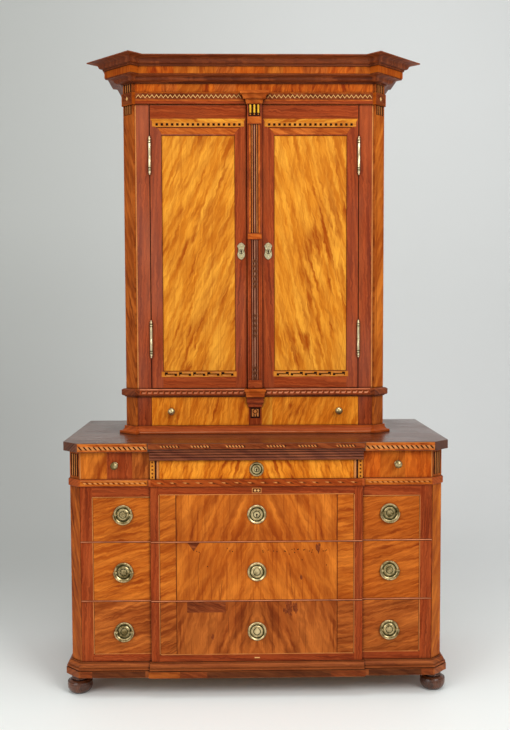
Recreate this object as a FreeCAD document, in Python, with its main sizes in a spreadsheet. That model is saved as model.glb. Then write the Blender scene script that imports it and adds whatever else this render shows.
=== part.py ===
import FreeCAD, Part
import math
import os
import Sketcher

# Cabinet with two doors and a drawer, standing on a breakfront chest of drawers.
# Millimetres, +Z up, front towards -Y, origin on the ground under the middle of the chest.

doc = FreeCAD.newDocument("CabinetOnChest")
Vector = FreeCAD.Vector

# Driving sizes, one cell each
SIZES = {
    # plan of the chest
    "body_width": 1270, "body_depth": 625, "overhang": 20, "break_step": 10, "break_half": 359,
    "break_reveal": 5, "cant": 38, "post_depth": 60, "board": 20, "back_board": 10, "thin_board": 12,
    # plan of the cabinet
    "upper_width": 918, "upper_depth": 413, "pier": 8, "door_opening": 742, "stile_board": 22,
    # heights of the chest, from the ground up
    "foot_height": 72, "plinth_height": 49, "plinth_depth": 25, "low_drawer": 208, "mid_drawer": 203,
    "high_drawer": 191, "rope_rail": 25, "frieze_height": 95, "centre_drawer": 66,
    "slab": 30, "slab_centre": 21,
    # heights of the cabinet, from the chest up
    "base_height": 29, "upper_drawer": 104, "ledge_height": 29, "door_height": 1003, "frieze_rail": 73,
    "bed_height": 24, "fascia_height": 25, "crown_height": 30,
    # mouldings, as projections from the faces that carry them
    "rope_proud": 5, "base_proud": 18, "ledge_proud": 12, "band_proud": 4, "band_height": 42,
    "bed_proud": 44, "fascia_proud": 46, "crown_proud": 90, "reed_proud": 12, "reed_count": 4,
    # turned feet
    "foot_radius": 43, "foot_base": 27, "foot_shoulder": 32, "foot_ring": 7, "foot_neck": 26,
    "foot_collar": 7, "foot_inset": 23, "foot_set": 50, "foot_block": 100,
    # drawers
    "front_board": 22, "front_gap": 2, "slide_gap": 0.3, "box_board": 12, "box_gap": 1.5, "box_depth": 520,
    "box_headroom": 20, "box_floor": 8, "floor_set": 6, "guide_height": 30, "divider": 22, "small_head": 8,
    # doors
    "door_board": 24, "door_proud": 2, "door_gap": 2, "hinge_gap": 3, "door_stile": 40, "panel_inner": 69,
    "top_rail": 105, "bottom_rail": 61, "panel_board": 14, "panel_sink": 2, "shelf_board": 16, "shelf_set": 8,
    "batten": 18,
    # centre pilaster, its capital and its console
    "pilaster_half": 26, "pilaster_proud": 13, "reed_half": 3.6, "reed_edge": 1, "channel": 3.4,
    "bead_half": 2.8, "block_proud": 16,
    "neck_drop": 68, "ring_height": 27, "waist_block": 22, "waist_rise": 530, "foot_of_shaft": 30,
    "cap_half": 27, "cap_proud": 24, "cap_depth": 10, "console_half": 30, "console_proud": 14,
    "console_drop": 36,
    # flutes of the corner posts
    "flute": 3.6, "flute_pitch": 11, "flute_end": 9, "upper_flute": 34,
    # brasses
    "plate_radius": 32, "plate_shift": 26, "plate_rim": 3.5, "rose_small": 24, "stud_set": 25, "stud": 3.6,
    "stud_height": 11, "pin_height": 8, "bail_bar": 2.6, "bail_pin": 1.9, "pin_gap": 0.3,
    "cover_width": 6.5, "cover_length": 17, "cover_board": 1.6, "cover_set": 9, "keyhole": 3, "key_slot": 9,
    "knob_head": 13, "knob_length": 24, "knob_base": 11, "knob_neck": 5, "knob_inset": 71,
    "hinge_barrel": 4.5, "hinge_length": 112, "hinge_set": 178, "hinge_leaf": 1.2, "hinge_pin": 2,
    "hinge_bore": 2.2, "leaf_depth": 18, "shield_half": 14, "shield_height": 60, "shield_board": 2.5,
    "shield_set": 48, "shield_rise": 490, "lock_width": 70, "lock_height": 46, "small_lock": 32,
    "lock_depth": 14,
}

# Places worked out from the sizes: plan lines first, then heights
PLACES = {
    "half": "Size.body_width / 2",
    "back": "(Size.body_depth + Size.overhang + Size.break_step) / 2",
    "front": "back - Size.body_depth",
    "centre": "front - Size.break_step",
    "front_back": "front + Size.front_board",
    "rail": "front_back + Size.front_gap",
    "open_half": "half - Size.cant",
    "inner": "half - Size.board",
    "post_back": "front + Size.post_depth",
    "break_end": "Size.break_half + Size.break_reveal",
    "divider_in": "Size.break_half - Size.divider",
    "upper_half": "Size.upper_width / 2",
    "upper_inner": "upper_half - Size.board",
    "upper_flat": "upper_half - Size.cant",
    "door_half": "Size.door_opening / 2",
    "upper_front": "back - Size.upper_depth",
    "upper_post": "upper_front + Size.post_depth",
    "stile_back": "upper_front + Size.stile_board",
    "door_front": "upper_front - Size.door_proud",
    "door_edge": "door_half - Size.hinge_gap",
    "hinge_x": "door_half - Size.hinge_gap / 2",
    "hinge_y": "door_front - Size.hinge_barrel - Size.pin_gap",
    "plate_x": "(Size.break_half + open_half) / 2 - Size.plate_shift",
    "bail_ring": "Size.stud_set + Size.stud + Size.bail_bar + Size.pin_gap",
    "carcass": "Size.foot_height + Size.plinth_height",
    "middle": "carcass + Size.low_drawer",
    "high": "middle + Size.mid_drawer",
    "rope": "high + Size.high_drawer",
    "frieze": "rope + Size.rope_rail",
    "reed": "frieze + Size.centre_drawer",
    "slab_low": "frieze + Size.frieze_height",
    "chest": "slab_low + Size.slab",
    "reed_top": "chest - Size.slab_centre",
    "upper_low": "chest + Size.base_height",
    "ledge": "upper_low + Size.upper_drawer",
    "door": "ledge + Size.ledge_height",
    "head": "door + Size.door_height",
    "bed": "head + Size.frieze_rail",
    "fascia": "bed + Size.bed_height",
    "crown": "fascia + Size.fascia_height",
    "summit": "crown + Size.crown_height",
}


def fill_sheet(name, cells, lead):
    """A spreadsheet with one alias per row."""
    sheet = doc.addObject("Spreadsheet::Sheet", name)
    for row, (alias, content) in enumerate(cells.items(), start=1):
        sheet.set(f"A{row}", alias)
        sheet.set(f"B{row}", f"{lead}{content}")
        sheet.setAlias(f"B{row}", alias)
    return sheet


fill_sheet("Size", SIZES, "")
place_sheet = fill_sheet("At", PLACES, "=")
doc.recompute()


def value(expression):
    """The number that an expression on the sheets gives now."""
    return float(place_sheet.evalExpression(str(expression)))


# Builders shared by the pieces

def board(name, x, y, z):
    """A box between pairs of expressions, low and high along each axis."""
    box = doc.addObject("Part::Box", name)
    for side, axis, (low, high) in zip(("Length", "Width", "Height"), "xyz", (x, y, z)):
        box.setExpression(side, f"({high}) - ({low})")
        box.setExpression(f"Placement.Base.{axis}", f"{low}")
    return box


def mirrored_boards(name, x, y, z):
    """The same board left and right of the middle; x is given for the right one."""
    low, high = x
    return [board(f"{name}_left", (f"-({high})", f"-({low})"), y, z), board(f"{name}_right", x, y, z)]


def rod(name, radius, length, base, axis):
    """A cylinder from an expression point along a unit axis."""
    cylinder = doc.addObject("Part::Cylinder", name)
    cylinder.setExpression("Radius", radius)
    cylinder.setExpression("Height", length)
    cylinder.Placement = FreeCAD.Placement(Vector(), FreeCAD.Rotation(Vector(0, 0, 1), axis))
    place(cylinder, base)
    return cylinder


def ball(name, radius, base):
    """A sphere about an expression point."""
    sphere = doc.addObject("Part::Sphere", name)
    sphere.setExpression("Radius", radius)
    place(sphere, base)
    return sphere


def place(item, base):
    """Bind an object's position to three expressions."""
    for axis, expression in zip("xyz", base):
        item.setExpression(f"Placement.Base.{axis}", f"{expression}")


def face_front(item, base):
    """Turn a piece modelled along +Z to point out of the front, and place it."""
    item.Placement = FreeCAD.Placement(Vector(), FreeCAD.Rotation(Vector(1, 0, 0), 90))
    place(item, base)
    return item


def group(name, items):
    """Separate solids kept together as one sub-part."""
    compound = doc.addObject("Part::Compound", name)
    compound.Links = items
    return compound


def fuse(name, items):
    """One solid from several."""
    joined = doc.addObject("Part::MultiFuse", name)
    joined.Shapes = items
    return joined


def cut(name, base, tools):
    """A solid less the tools."""
    tool = tools[0] if len(tools) == 1 else fuse(f"{name}_tools", tools)
    less = doc.addObject("Part::Cut", name)
    less.Base = base
    less.Tool = tool
    return less


def arc_between(start, end, radius):
    """Arc of a signed radius: positive turns left on its way from start to end."""
    chord = end - start
    reach = math.sqrt(max(radius * radius - chord.Length ** 2 / 4, 0))
    left = Vector(-chord.y, chord.x, 0).normalize()
    middle = (start + end) * 0.5 + left * math.copysign(reach, radius)
    first, last = (start, end) if radius > 0 else (end, start)
    angles = [math.atan2(point.y - middle.y, point.x - middle.x) for point in (first, last)]
    return Part.ArcOfCircle(Part.Circle(middle, Vector(0, 0, 1), abs(radius)), *angles)


def draw(sketch, points):
    """Closed outline through (x, y) or (x, y, radius of the edge that follows) expressions."""
    spots = [Vector(value(point[0]), value(point[1]), 0) for point in points]
    count = len(points)
    ends = []
    for index, point in enumerate(points):
        start, end = spots[index], spots[(index + 1) % count]
        radius = value(point[2]) if len(point) > 2 else 0
        edge = arc_between(start, end, radius) if radius else Part.LineSegment(start, end)
        sketch.addGeometry(edge)
        ends.append((2, 1) if radius < 0 else (1, 2))
    for index in range(count):
        following = (index + 1) % count
        meeting = (index, ends[index][1], following, ends[following][0])
        sketch.addConstraint(Sketcher.Constraint("Coincident", *meeting))
    for index, point in enumerate(points):
        vertex = (index, ends[index][0])
        pin(sketch, "DistanceX", vertex, point[0], -2)
        pin(sketch, "DistanceY", vertex, point[1], -1)
        if len(point) > 2:
            radius = f"abs({point[2]})"
            row = sketch.addConstraint(Sketcher.Constraint("Radius", index, value(radius)))
            sketch.setExpression(f"Constraints[{row}]", radius)


def pin(sketch, kind, vertex, expression, axis):
    """Hold one coordinate of a sketch vertex to an expression, or to the axis where it is 0."""
    if expression == "0":
        sketch.addConstraint(Sketcher.Constraint("PointOnObject", *vertex, axis))
        return
    row = sketch.addConstraint(Sketcher.Constraint(kind, -1, 1, *vertex, value(expression)))
    sketch.setExpression(f"Constraints[{row}]", f"{expression}")


def sketch_on(body, role, points, offset="0"):
    """A closed sketch on one of the body's own origin planes."""
    sketch = body.newObject("Sketcher::SketchObject", f"{body.Name}_sketch")
    plane = [feature for feature in body.Origin.OriginFeatures if feature.Role == role][0]
    sketch.AttachmentSupport = (plane, [""])
    sketch.MapMode = "FlatFace"
    sketch.setExpression("AttachmentOffset.Base.z", offset)
    draw(sketch, points)
    return sketch


def pad(body, points, low, high):
    """Pad a plan outline between two heights."""
    feature = body.newObject("PartDesign::Pad", f"{body.Name}_pad")
    feature.Profile = sketch_on(body, "XY_Plane", points, low)
    feature.setExpression("Length", f"({high}) - ({low})")
    return body


def outline_board(name, points, low, high):
    """A board sawn to a plan outline."""
    return pad(doc.addObject("PartDesign::Body", name), points, low, high)


def turned(name, points):
    """A turned piece from (radius, height) points, about its own Z axis."""
    body = doc.addObject("PartDesign::Body", name)
    sketch = sketch_on(body, "XZ_Plane", points)
    feature = body.newObject("PartDesign::Revolution", f"{name}_turning")
    feature.Profile = sketch
    feature.ReferenceAxis = (sketch, ["V_Axis"])
    return body


def swell(rise, run):
    """Radius of an arc that starts square to its chord's rise and covers rise by run."""
    return f"(({rise})^2 + ({run})^2) / (2 * ({rise}))"


def quarter(start, end, hollow, steps=4):
    """Points of a quarter ellipse between two profile points, hollow or round."""
    (p0, z0), (p1, z1) = start, end
    turns = [math.pi / 2 * step / steps for step in range(steps + 1)]
    if hollow:
        return [(p0 + (p1 - p0) * (1 - math.cos(turn)), z0 + (z1 - z0) * math.sin(turn)) for turn in turns]
    return [(p0 + (p1 - p0) * math.sin(turn), z0 + (z1 - z0) * (1 - math.cos(turn))) for turn in turns]


def moulding(shares, proud, low, high):
    """A section from shares of a moulding's projection and of its height."""
    out, foot, top = value(proud), value(low), value(high)
    return [(share * out, foot + rise * (top - foot)) for share, rise in shares]


def mitred_lengths(name, routes, profile):
    """Moulding lengths along open plan routes, mitred where a route turns.

    A route runs with the outside on its right. A profile point is (projection, height).
    """
    lengths = []
    for route in routes:
        headings = [(end - start).normalize() for start, end in zip(route, route[1:])]
        normals = [Vector(heading.y, -heading.x, 0) for heading in headings]
        mitres = [normals[0]]
        for before, after in zip(normals, normals[1:]):
            mitres.append((before + after) / (1 + before.dot(after)))
        mitres.append(normals[-1])
        sections = []
        for corner, mitre in zip(route, mitres):
            sections.append([corner + mitre * reach + Vector(0, 0, height) for reach, height in profile])
        lengths += [length_between(*pair) for pair in zip(sections, sections[1:])]
    feature = doc.addObject("Part::Feature", name)
    feature.Shape = Part.makeCompound(lengths)
    return feature


def length_between(first, last):
    """A straight moulding length between its two cut ends."""
    count = len(first)
    faces = [Part.Face(Part.makePolygon(end + end[:1])) for end in (first, last)]
    for index in range(count):
        following = (index + 1) % count
        corners = [first[index], first[following], last[following], last[index]]
        faces.append(Part.Face(Part.makePolygon(corners + corners[:1])))
    solid = Part.Solid(Part.Shell(faces))
    if solid.Volume < 0:
        solid.reverse()
    return solid


def both_sides(route):
    """A left route and its mirror image, both with the outside on the right."""
    return [route, [Vector(-corner.x, corner.y, 0) for corner in reversed(route)]]


def spot(x, y):
    """A plan point from two expressions."""
    return Vector(value(x), value(y), 0)


# Plan routes that the mouldings follow
chest_sides = both_sides([
    spot("-At.half", "At.back"), spot("-At.half", "At.front + Size.cant"),
    spot("-At.open_half", "At.front"), spot("-At.break_end", "At.front")])
chest_middle = [[spot("-At.break_end", "At.centre"), spot("At.break_end", "At.centre")]]
pier_shift = "Size.pier * sqrt(0.5)"
cabinet_left = [
    spot("-At.upper_half", "At.back"),
    spot("-At.upper_half", "At.upper_front + Size.cant"),
    spot(f"-At.upper_half - {pier_shift}", f"At.upper_front + Size.cant - {pier_shift}"),
    spot(f"-At.upper_flat - {pier_shift}", f"At.upper_front - {pier_shift}"),
    spot("-At.upper_flat", "At.upper_front")]
cabinet_round = [cabinet_left + both_sides(cabinet_left)[1]]

nodes = []


def node(item):
    """Keep a finished sub-part under its own name."""
    item.Label = item.Name
    nodes.append(item)
    return item


# Feet and plinth

def bun_foot(name, x, y):
    """A turned bun foot with a collar under the plinth."""
    belly, shoulder = "Size.foot_height * 0.38", "Size.foot_height * 0.64"
    ring_low = f"{shoulder} + Size.foot_ring / 4"
    collar = "Size.foot_height - 2 * Size.foot_collar"
    foot = turned(name, [
        ("0", "0"),
        ("Size.foot_base", "0", swell("Size.foot_radius - Size.foot_base", belly)),
        ("Size.foot_radius", belly, swell("Size.foot_radius - Size.foot_shoulder", f"{shoulder} - {belly}")),
        ("Size.foot_shoulder", shoulder),
        ("Size.foot_neck", shoulder),
        ("Size.foot_neck", ring_low, swell("Size.foot_ring * 0.4", "Size.foot_ring / 2")),
        ("Size.foot_neck", f"{ring_low} + Size.foot_ring"),
        ("Size.foot_neck", collar),
        ("Size.foot_neck + Size.foot_collar / 2", collar),
        ("Size.foot_neck + Size.foot_collar / 2", "Size.foot_height - Size.foot_collar"),
        ("Size.foot_neck + Size.foot_collar", "Size.foot_height - Size.foot_collar"),
        ("Size.foot_neck + Size.foot_collar", "Size.foot_height"),
        ("0", "Size.foot_height")])
    place(foot, (x, y, "0"))
    return foot


foot_x = "At.half - Size.foot_inset"
foot_rows = {"front": "At.front + Size.foot_set", "rear": "At.back - Size.foot_set"}
feet = []
for row_name, foot_y in foot_rows.items():
    feet.append(bun_foot(f"foot_{row_name}_left", f"-({foot_x})", foot_y))
    feet.append(bun_foot(f"foot_{row_name}_right", foot_x, foot_y))
node(group("bun_feet", feet))

# Sections of the mouldings, as shares of the projection and of the height
PLAIN = [(0, 0), (1, 0), (1, 1), (0, 1)]
PLINTH = [(1, 0), (1, 0.44), (0.8, 0.46), (0.8, 0.49), (0.9, 0.51), (0.9, 0.59), (0.62, 0.62), (0.62, 0.66),
          *quarter((0.62, 0.68), (0.25, 0.93), True), (0.2, 0.93), (0.2, 1)]
ROPE = [(0, 0), (0.6, 0), (1, 0.08), (1, 0.92), (0.6, 1), (0, 1)]
BASE = [(0, 0), (1, 0), (1, 0.35), *quarter((0.85, 0.35), (0.28, 0.85), False), (0.28, 1), (0, 1)]
LEDGE = [(0, 0), (0.33, 0), *quarter((0.33, 0.1), (1, 0.3), False), (1, 0.85), (0.5, 1), (0, 1)]
BED = [(0, 0), (0.12, 0), *quarter((0.12, 0.15), (0.5, 0.5), False),
       *quarter((0.5, 0.5), (1, 0.85), True)[1:], (1, 1), (0, 1)]
CROWN = [(0, 0), (0.555, 0), (0.555, 0.18), *quarter((0.565, 0.2), (0.68, 0.5), False),
         *quarter((0.69, 0.54), (0.98, 0.86), True), (1, 0.87), (1, 1), (0, 1)]
CAPITAL = [(0, 0), (0.04, 0), (0.22, 0.4), (0.5, 0.4), (0.5, 0.46),
           *quarter((0.54, 0.46), (0.94, 0.78), True), (1, 0.78), (1, 1), (0, 1)]
CONSOLE = [(0, 0), (0.2, 0), *quarter((0.2, 0.1), (0.6, 0.7), True), (0.6, 1), (0, 1)]


def plinth_profile(inside):
    """Plinth section: a flat board, a fillet and an ovolo that dies into the carcass."""
    section = moulding(PLINTH, "Size.overhang", "Size.foot_height", "At.carcass")
    return [(value(inside), section[0][1]), *section, (value(inside), section[-1][1])]


plinth_sides = mitred_lengths("plinth_sides", chest_sides, plinth_profile("-Size.plinth_depth"))
plinth_middle = mitred_lengths("plinth_middle", chest_middle,
                               plinth_profile("-Size.plinth_depth - Size.break_step"))
plinth_inner = "At.half - Size.plinth_depth"
plinth_front = "At.front + Size.plinth_depth"
cant_shift = "Size.plinth_depth * tan(22.5)"
plinth_cant = f"{plinth_front} + Size.cant - Size.plinth_depth + {cant_shift}"
plinth_corner = f"At.open_half - {cant_shift}"
plinth_rear = "At.back - Size.board"
under_floor = "At.carcass - Size.board"
plinth_back = board("plinth_back", (f"-({plinth_inner})", plinth_inner), (plinth_rear, "At.back"),
                    ("Size.foot_height", "At.carcass"))
block_in = f"{plinth_inner} - Size.foot_block"
foot_blocks = mirrored_boards("rear_block", (block_in, plinth_inner),
                              (f"{plinth_rear} - Size.foot_block", plinth_rear),
                              ("Size.foot_height", under_floor))
for hand, sign in (("left", "-"), ("right", "")):
    corners = [(block_in, plinth_front), (plinth_corner, plinth_front), (plinth_inner, plinth_cant),
               (plinth_inner, f"{plinth_front} + Size.foot_block"),
               (block_in, f"{plinth_front} + Size.foot_block")]
    foot_blocks.append(outline_board(f"front_block_{hand}", [(f"{sign}({x})", y) for x, y in corners],
                                     "Size.foot_height", under_floor))
node(group("plinth", [plinth_sides, plinth_middle, plinth_back, *foot_blocks]))

# Carcass of the chest: sides, back, posts, boards that the drawers run on

carcass_heights = ("At.carcass", "At.slab_low")
node(group("lower_sides", mirrored_boards("lower_side", ("At.inner", "At.half"), ("At.post_back", "At.back"),
                                          carcass_heights)))
lower_back_y = "At.back - Size.back_board"
node(board("lower_back", ("-At.inner", "At.inner"), (lower_back_y, "At.back"), carcass_heights))


def flutes(name, x, y, low, high):
    """Four upright flutes across a cant face centred on (x, y), right-hand corner; three reeds are left."""
    rods = []
    for number, pitches in enumerate((-1.5, -0.5, 0.5, 1.5), start=1):
        shift = f"{pitches} * Size.flute_pitch * sqrt(0.5)"
        base = (f"{x} + {shift}", f"{y} + {shift}", low)
        rods.append(rod(f"{name}_{number}", "Size.flute", f"({high}) - ({low})", base, Vector(0, 0, 1)))
    return rods


def mirror_across(name, item):
    """The left-hand twin of a right-hand piece."""
    twin = doc.addObject("Part::Mirroring", name)
    twin.Source = item
    twin.Normal = Vector(1, 0, 0)
    return twin


lower_post = outline_board("lower_post_block", [
    ("At.open_half", "At.front"), ("At.half", "At.front + Size.cant"), ("At.half", "At.post_back"),
    ("At.open_half", "At.post_back")], *carcass_heights)
lower_post_right = cut("lower_post_right", lower_post, flutes(
    "lower_flute", "At.half - Size.cant / 2", "At.front + Size.cant / 2",
    "At.frieze + Size.flute_end", "At.slab_low - Size.flute_end"))
node(group("lower_posts", [mirror_across("lower_post_left", lower_post_right), lower_post_right]))

lower_floor = outline_board("lower_floor", [
    (f"-({plinth_corner})", plinth_front), (plinth_corner, plinth_front), (plinth_inner, plinth_cant),
    (plinth_inner, plinth_rear), (f"-({plinth_inner})", plinth_rear), (f"-({plinth_inner})", plinth_cant)],
    under_floor, "At.carcass")
lower_boards = [lower_floor]
for level in ("middle", "high", "frieze"):
    lower_boards.append(board(f"dust_board_{level}", ("-At.open_half", "At.open_half"),
                              ("At.rail", lower_back_y), (f"At.{level} - Size.thin_board", f"At.{level}")))
for level in ("carcass", "middle", "high", "frieze"):
    foot_of_guide = f"At.{level}" if level == "carcass" else f"At.{level} - Size.thin_board"
    lower_boards += mirrored_boards(f"guide_{level}", ("At.open_half", "At.inner"),
                                    ("At.post_back", lower_back_y),
                                    (foot_of_guide, f"At.{level} + Size.guide_height"))
node(group("lower_boards", lower_boards))

# Rope rail between the frieze drawers and the long drawers

rope_heights = ("At.rope", "At.frieze")
rope_profile = moulding(ROPE, "Size.rope_proud", *rope_heights)
rope_bars = mirrored_boards("rope_bar", ("Size.break_half", "At.open_half"), ("At.front", "At.rail"),
                            rope_heights)
rope_bars.append(board("rope_bar_middle", ("-Size.break_half", "Size.break_half"), ("At.centre", "At.rail"),
                       rope_heights))
node(group("rope_rail", [mitred_lengths("rope_strips", chest_sides, rope_profile),
                         mitred_lengths("rope_strip_middle", chest_middle, rope_profile), *rope_bars]))

# Frieze dividers, reeded band and top slab

divider_x = ("At.divider_in", "Size.break_half")
frieze_dividers = mirrored_boards("divider_stile", divider_x, ("At.centre", "At.rail"),
                                  ("At.frieze", "At.reed"))
frieze_dividers += mirrored_boards("divider_board", divider_x, ("At.rail", lower_back_y),
                                   ("At.frieze", "At.slab_low"))
node(group("frieze_dividers", frieze_dividers))

reed_rise = "(At.reed_top - At.reed) / Size.reed_count"
reed_face = "At.centre - Size.reed_proud"
reed_bow = swell("Size.reed_proud / 3", f"{reed_rise} / 2")
reeded_band = doc.addObject("PartDesign::Body", "reeded_band")
reed_points = [("At.rail", "At.reed_top")]
for reed_index in range(round(value("Size.reed_count"))):
    reed_points.append((reed_face, f"At.reed_top - {reed_index} * {reed_rise}", reed_bow))
reed_points += [(reed_face, "At.reed"), ("At.rail", "At.reed")]
band_pad = reeded_band.newObject("PartDesign::Pad", "reeded_band_pad")
band_pad.Profile = sketch_on(reeded_band, "YZ_Plane", reed_points)
band_pad.Midplane = True
band_pad.setExpression("Length", "2 * Size.break_half")
node(reeded_band)

slab_side = "At.half + Size.overhang"
slab_slant = "Size.overhang * tan(22.5)"
slab_front = "At.front - Size.overhang"
slab_corner = [(f"At.open_half + {slab_slant}", slab_front),
               (slab_side, f"At.front + Size.cant - {slab_slant}"), (slab_side, "At.back")]


def around(points):
    """A closed outline from a right half, front to back, and its mirror image."""
    return points + [(f"-({x})", y) for x, y in reversed(points)]


lower_top = doc.addObject("PartDesign::Body", "lower_top")
pad(lower_top, around([("At.break_end", "At.centre - Size.overhang"), ("At.break_end", slab_front),
                       *slab_corner]), "At.reed_top", "At.chest")
pad(lower_top, around([("Size.break_half", "At.rail"), ("Size.break_half", slab_front), *slab_corner]),
    "At.slab_low", "At.reed_top")
node(lower_top)

# Cabinet carcass

cabinet_heights = ("At.chest", "At.summit")
upper_back_y = "At.back - Size.back_board"
node(group("upper_sides", mirrored_boards("upper_side", ("At.upper_inner", "At.upper_half"),
                                          ("At.upper_post", "At.back"), cabinet_heights)))
node(board("upper_back", ("-At.upper_inner", "At.upper_inner"), (upper_back_y, "At.back"), cabinet_heights))

upper_post = outline_board("upper_post_block", [
    ("At.upper_flat", "At.upper_front"),
    (f"At.upper_flat + {pier_shift}", f"At.upper_front - {pier_shift}"),
    (f"At.upper_half + {pier_shift}", f"At.upper_front + Size.cant - {pier_shift}"),
    ("At.upper_half", "At.upper_front + Size.cant"), ("At.upper_half", "At.upper_post"),
    ("At.upper_flat", "At.upper_post")], *cabinet_heights)
pier_x = f"At.upper_half - Size.cant / 2 + {pier_shift}"
pier_y = f"At.upper_front + Size.cant / 2 - {pier_shift}"
upper_flutes = flutes("frieze_flute", pier_x, pier_y, "At.head + Size.band_height", "At.bed")
upper_flutes += flutes("neck_flute", pier_x, pier_y, "At.head - Size.upper_flute", "At.head")
upper_post_right = cut("upper_post_right", upper_post, upper_flutes)
node(group("upper_posts", [mirror_across("upper_post_left", upper_post_right), upper_post_right]))

front_boards_y = ("At.upper_front", "At.stile_back")
node(group("upper_stiles", mirrored_boards("upper_stile", ("At.door_half", "At.upper_flat"), front_boards_y,
                                           ("At.chest", "At.head"))))
inside_x = ("-At.upper_inner", "At.upper_inner")
deck_top = "At.door"
deck_low = "At.door - Size.board"
upper_boards = [
    board("upper_floor_front", ("-At.upper_flat", "At.upper_flat"), ("At.stile_back", "At.upper_post"),
          ("At.upper_low - Size.thin_board", "At.upper_low")),
    board("upper_floor", inside_x, ("At.upper_post", upper_back_y),
          ("At.upper_low - Size.thin_board", "At.upper_low")),
    board("deck_front", ("-At.upper_flat", "At.upper_flat"), ("At.stile_back", "At.upper_post"),
          (deck_low, deck_top)),
    board("deck", inside_x, ("At.upper_post", upper_back_y), (deck_low, deck_top)),
    board("roof_front", ("-At.upper_flat", "At.upper_flat"), ("At.stile_back", "At.upper_post"),
          ("At.crown - Size.board", "At.crown")),
    board("roof", inside_x, ("At.upper_post", upper_back_y), ("At.crown - Size.board", "At.crown")),
]
upper_boards += mirrored_boards("upper_guide", ("At.door_half", "At.upper_inner"),
                                ("At.upper_post", upper_back_y),
                                ("At.upper_low", "At.upper_low + Size.guide_height"))
node(group("upper_boards", upper_boards))

shelves = []
for shelf_index in (1, 2):
    shelf_low = f"At.door + {shelf_index} * Size.door_height / 3"
    shelves.append(board(f"shelf_{shelf_index}", inside_x, ("At.upper_post + Size.shelf_set", upper_back_y),
                         (shelf_low, f"{shelf_low} + Size.shelf_board")))
    shelves += mirrored_boards(f"shelf_batten_{shelf_index}",
                               ("At.upper_inner - Size.batten", "At.upper_inner"),
                               ("At.upper_post + Size.batten", upper_back_y),
                               (f"{shelf_low} - Size.batten", shelf_low))
node(group("shelves", shelves))

# Mouldings that run round the cabinet and break out at the canted corners
base_heights, ledge_heights = ("At.chest", "At.upper_low"), ("At.ledge", "At.door")
between_stiles = ("-At.door_half", "At.door_half")
base_rail = board("base_rail", between_stiles, front_boards_y, base_heights)
base_lengths = mitred_lengths("base_lengths", cabinet_round, moulding(BASE, "Size.base_proud", *base_heights))
node(group("upper_base", [base_lengths, base_rail]))

ledge_rail = board("ledge_rail", between_stiles, front_boards_y, ledge_heights)
ledge_lengths = mitred_lengths("ledge_lengths", cabinet_round,
                               moulding(LEDGE, "Size.ledge_proud", *ledge_heights))
node(group("ledge_moulding", [ledge_lengths, ledge_rail]))

band_heights = ("At.head", "At.head + Size.band_height")
frieze_board = board("frieze_board", ("-At.upper_flat", "At.upper_flat"), front_boards_y,
                     ("At.head", "At.summit"))
frieze_band = mitred_lengths("frieze_band", cabinet_round, moulding(PLAIN, "Size.band_proud", *band_heights))
node(group("frieze_rail", [frieze_board, frieze_band]))

node(mitred_lengths("cornice_bed", cabinet_round, moulding(BED, "Size.bed_proud", "At.bed", "At.fascia")))
node(mitred_lengths("cornice_fascia", cabinet_round,
                    moulding(PLAIN, "Size.fascia_proud", "At.fascia", "At.crown")))
node(mitred_lengths("cornice_crown", cabinet_round,
                    moulding(CROWN, "Size.crown_proud", "At.crown", "At.summit")))


def moulded_block(name, half, proud, face, shares, heights):
    """A small block on a front face, with a moulding returned round its three sides."""
    front = f"{face} - Size.cap_depth"
    core = board(f"{name}_core", (f"-({half})", half), (front, face), heights)
    route = [spot(f"-({half})", face), spot(f"-({half})", front), spot(half, front), spot(half, face)]
    section = moulding(shares, proud, *heights)
    return [core, mitred_lengths(f"{name}_moulding", [route], section)]


pilaster_caps = moulded_block("capital", "Size.cap_half", "Size.cap_proud",
                              "At.upper_front - Size.band_proud", CAPITAL, band_heights)
pilaster_caps += moulded_block("console", "Size.console_half", "Size.console_proud",
                               "At.upper_front - Size.ledge_proud", CONSOLE, ledge_heights)
node(group("pilaster_caps", pilaster_caps))

# Drawers


def drawer_box(name, x, y, z, depth):
    """Sides, back and bottom of a drawer; the front board closes it."""
    (left, right), (low, high) = x, z
    thick = "Size.box_board"
    inside = (f"{left} + {thick}", f"{right} - {thick}")
    y_back = f"{y} + {depth}"
    floor_low = f"{low} + Size.floor_set"
    return group(f"{name}_box", [
        board(f"{name}_side_left", (left, f"{left} + {thick}"), (y, y_back), z),
        board(f"{name}_side_right", (f"{right} - {thick}", right), (y, y_back), z),
        board(f"{name}_rear", inside, (f"{y_back} - {thick}", y_back), z),
        board(f"{name}_floor", inside, (y, f"{y_back} - {thick}"),
              (floor_low, f"{floor_low} + Size.box_floor"))])


def stamped_disc(name, radius):
    """A round brass plate with a raised rim, a ring and a low boss."""
    shares = ((1, 0.6), (0.95, 1), (0.87, 1), (0.8, 0.45), (0.62, 0.45), (0.56, 0.85), (0.46, 0.85))
    relief = [(f"{radius} * {out}", f"Size.plate_rim * {rise}") for out, rise in shares]
    return turned(name, [("0", "0"), (radius, "0"), *relief, ("0", "Size.plate_rim * 0.7")])


def keyhole(name):
    """The round and the slot of a keyhole, as tools along +Z."""
    slot = board(f"{name}_slot", ("-Size.keyhole / 2", "Size.keyhole / 2"), ("-Size.key_slot", "0"),
                 ("-Size.plate_rim", "2 * Size.plate_rim"))
    eye = rod(f"{name}_eye", "Size.keyhole", "3 * Size.plate_rim", ("0", "0", "-Size.plate_rim"),
              Vector(0, 0, 1))
    return [eye, slot]


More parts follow.
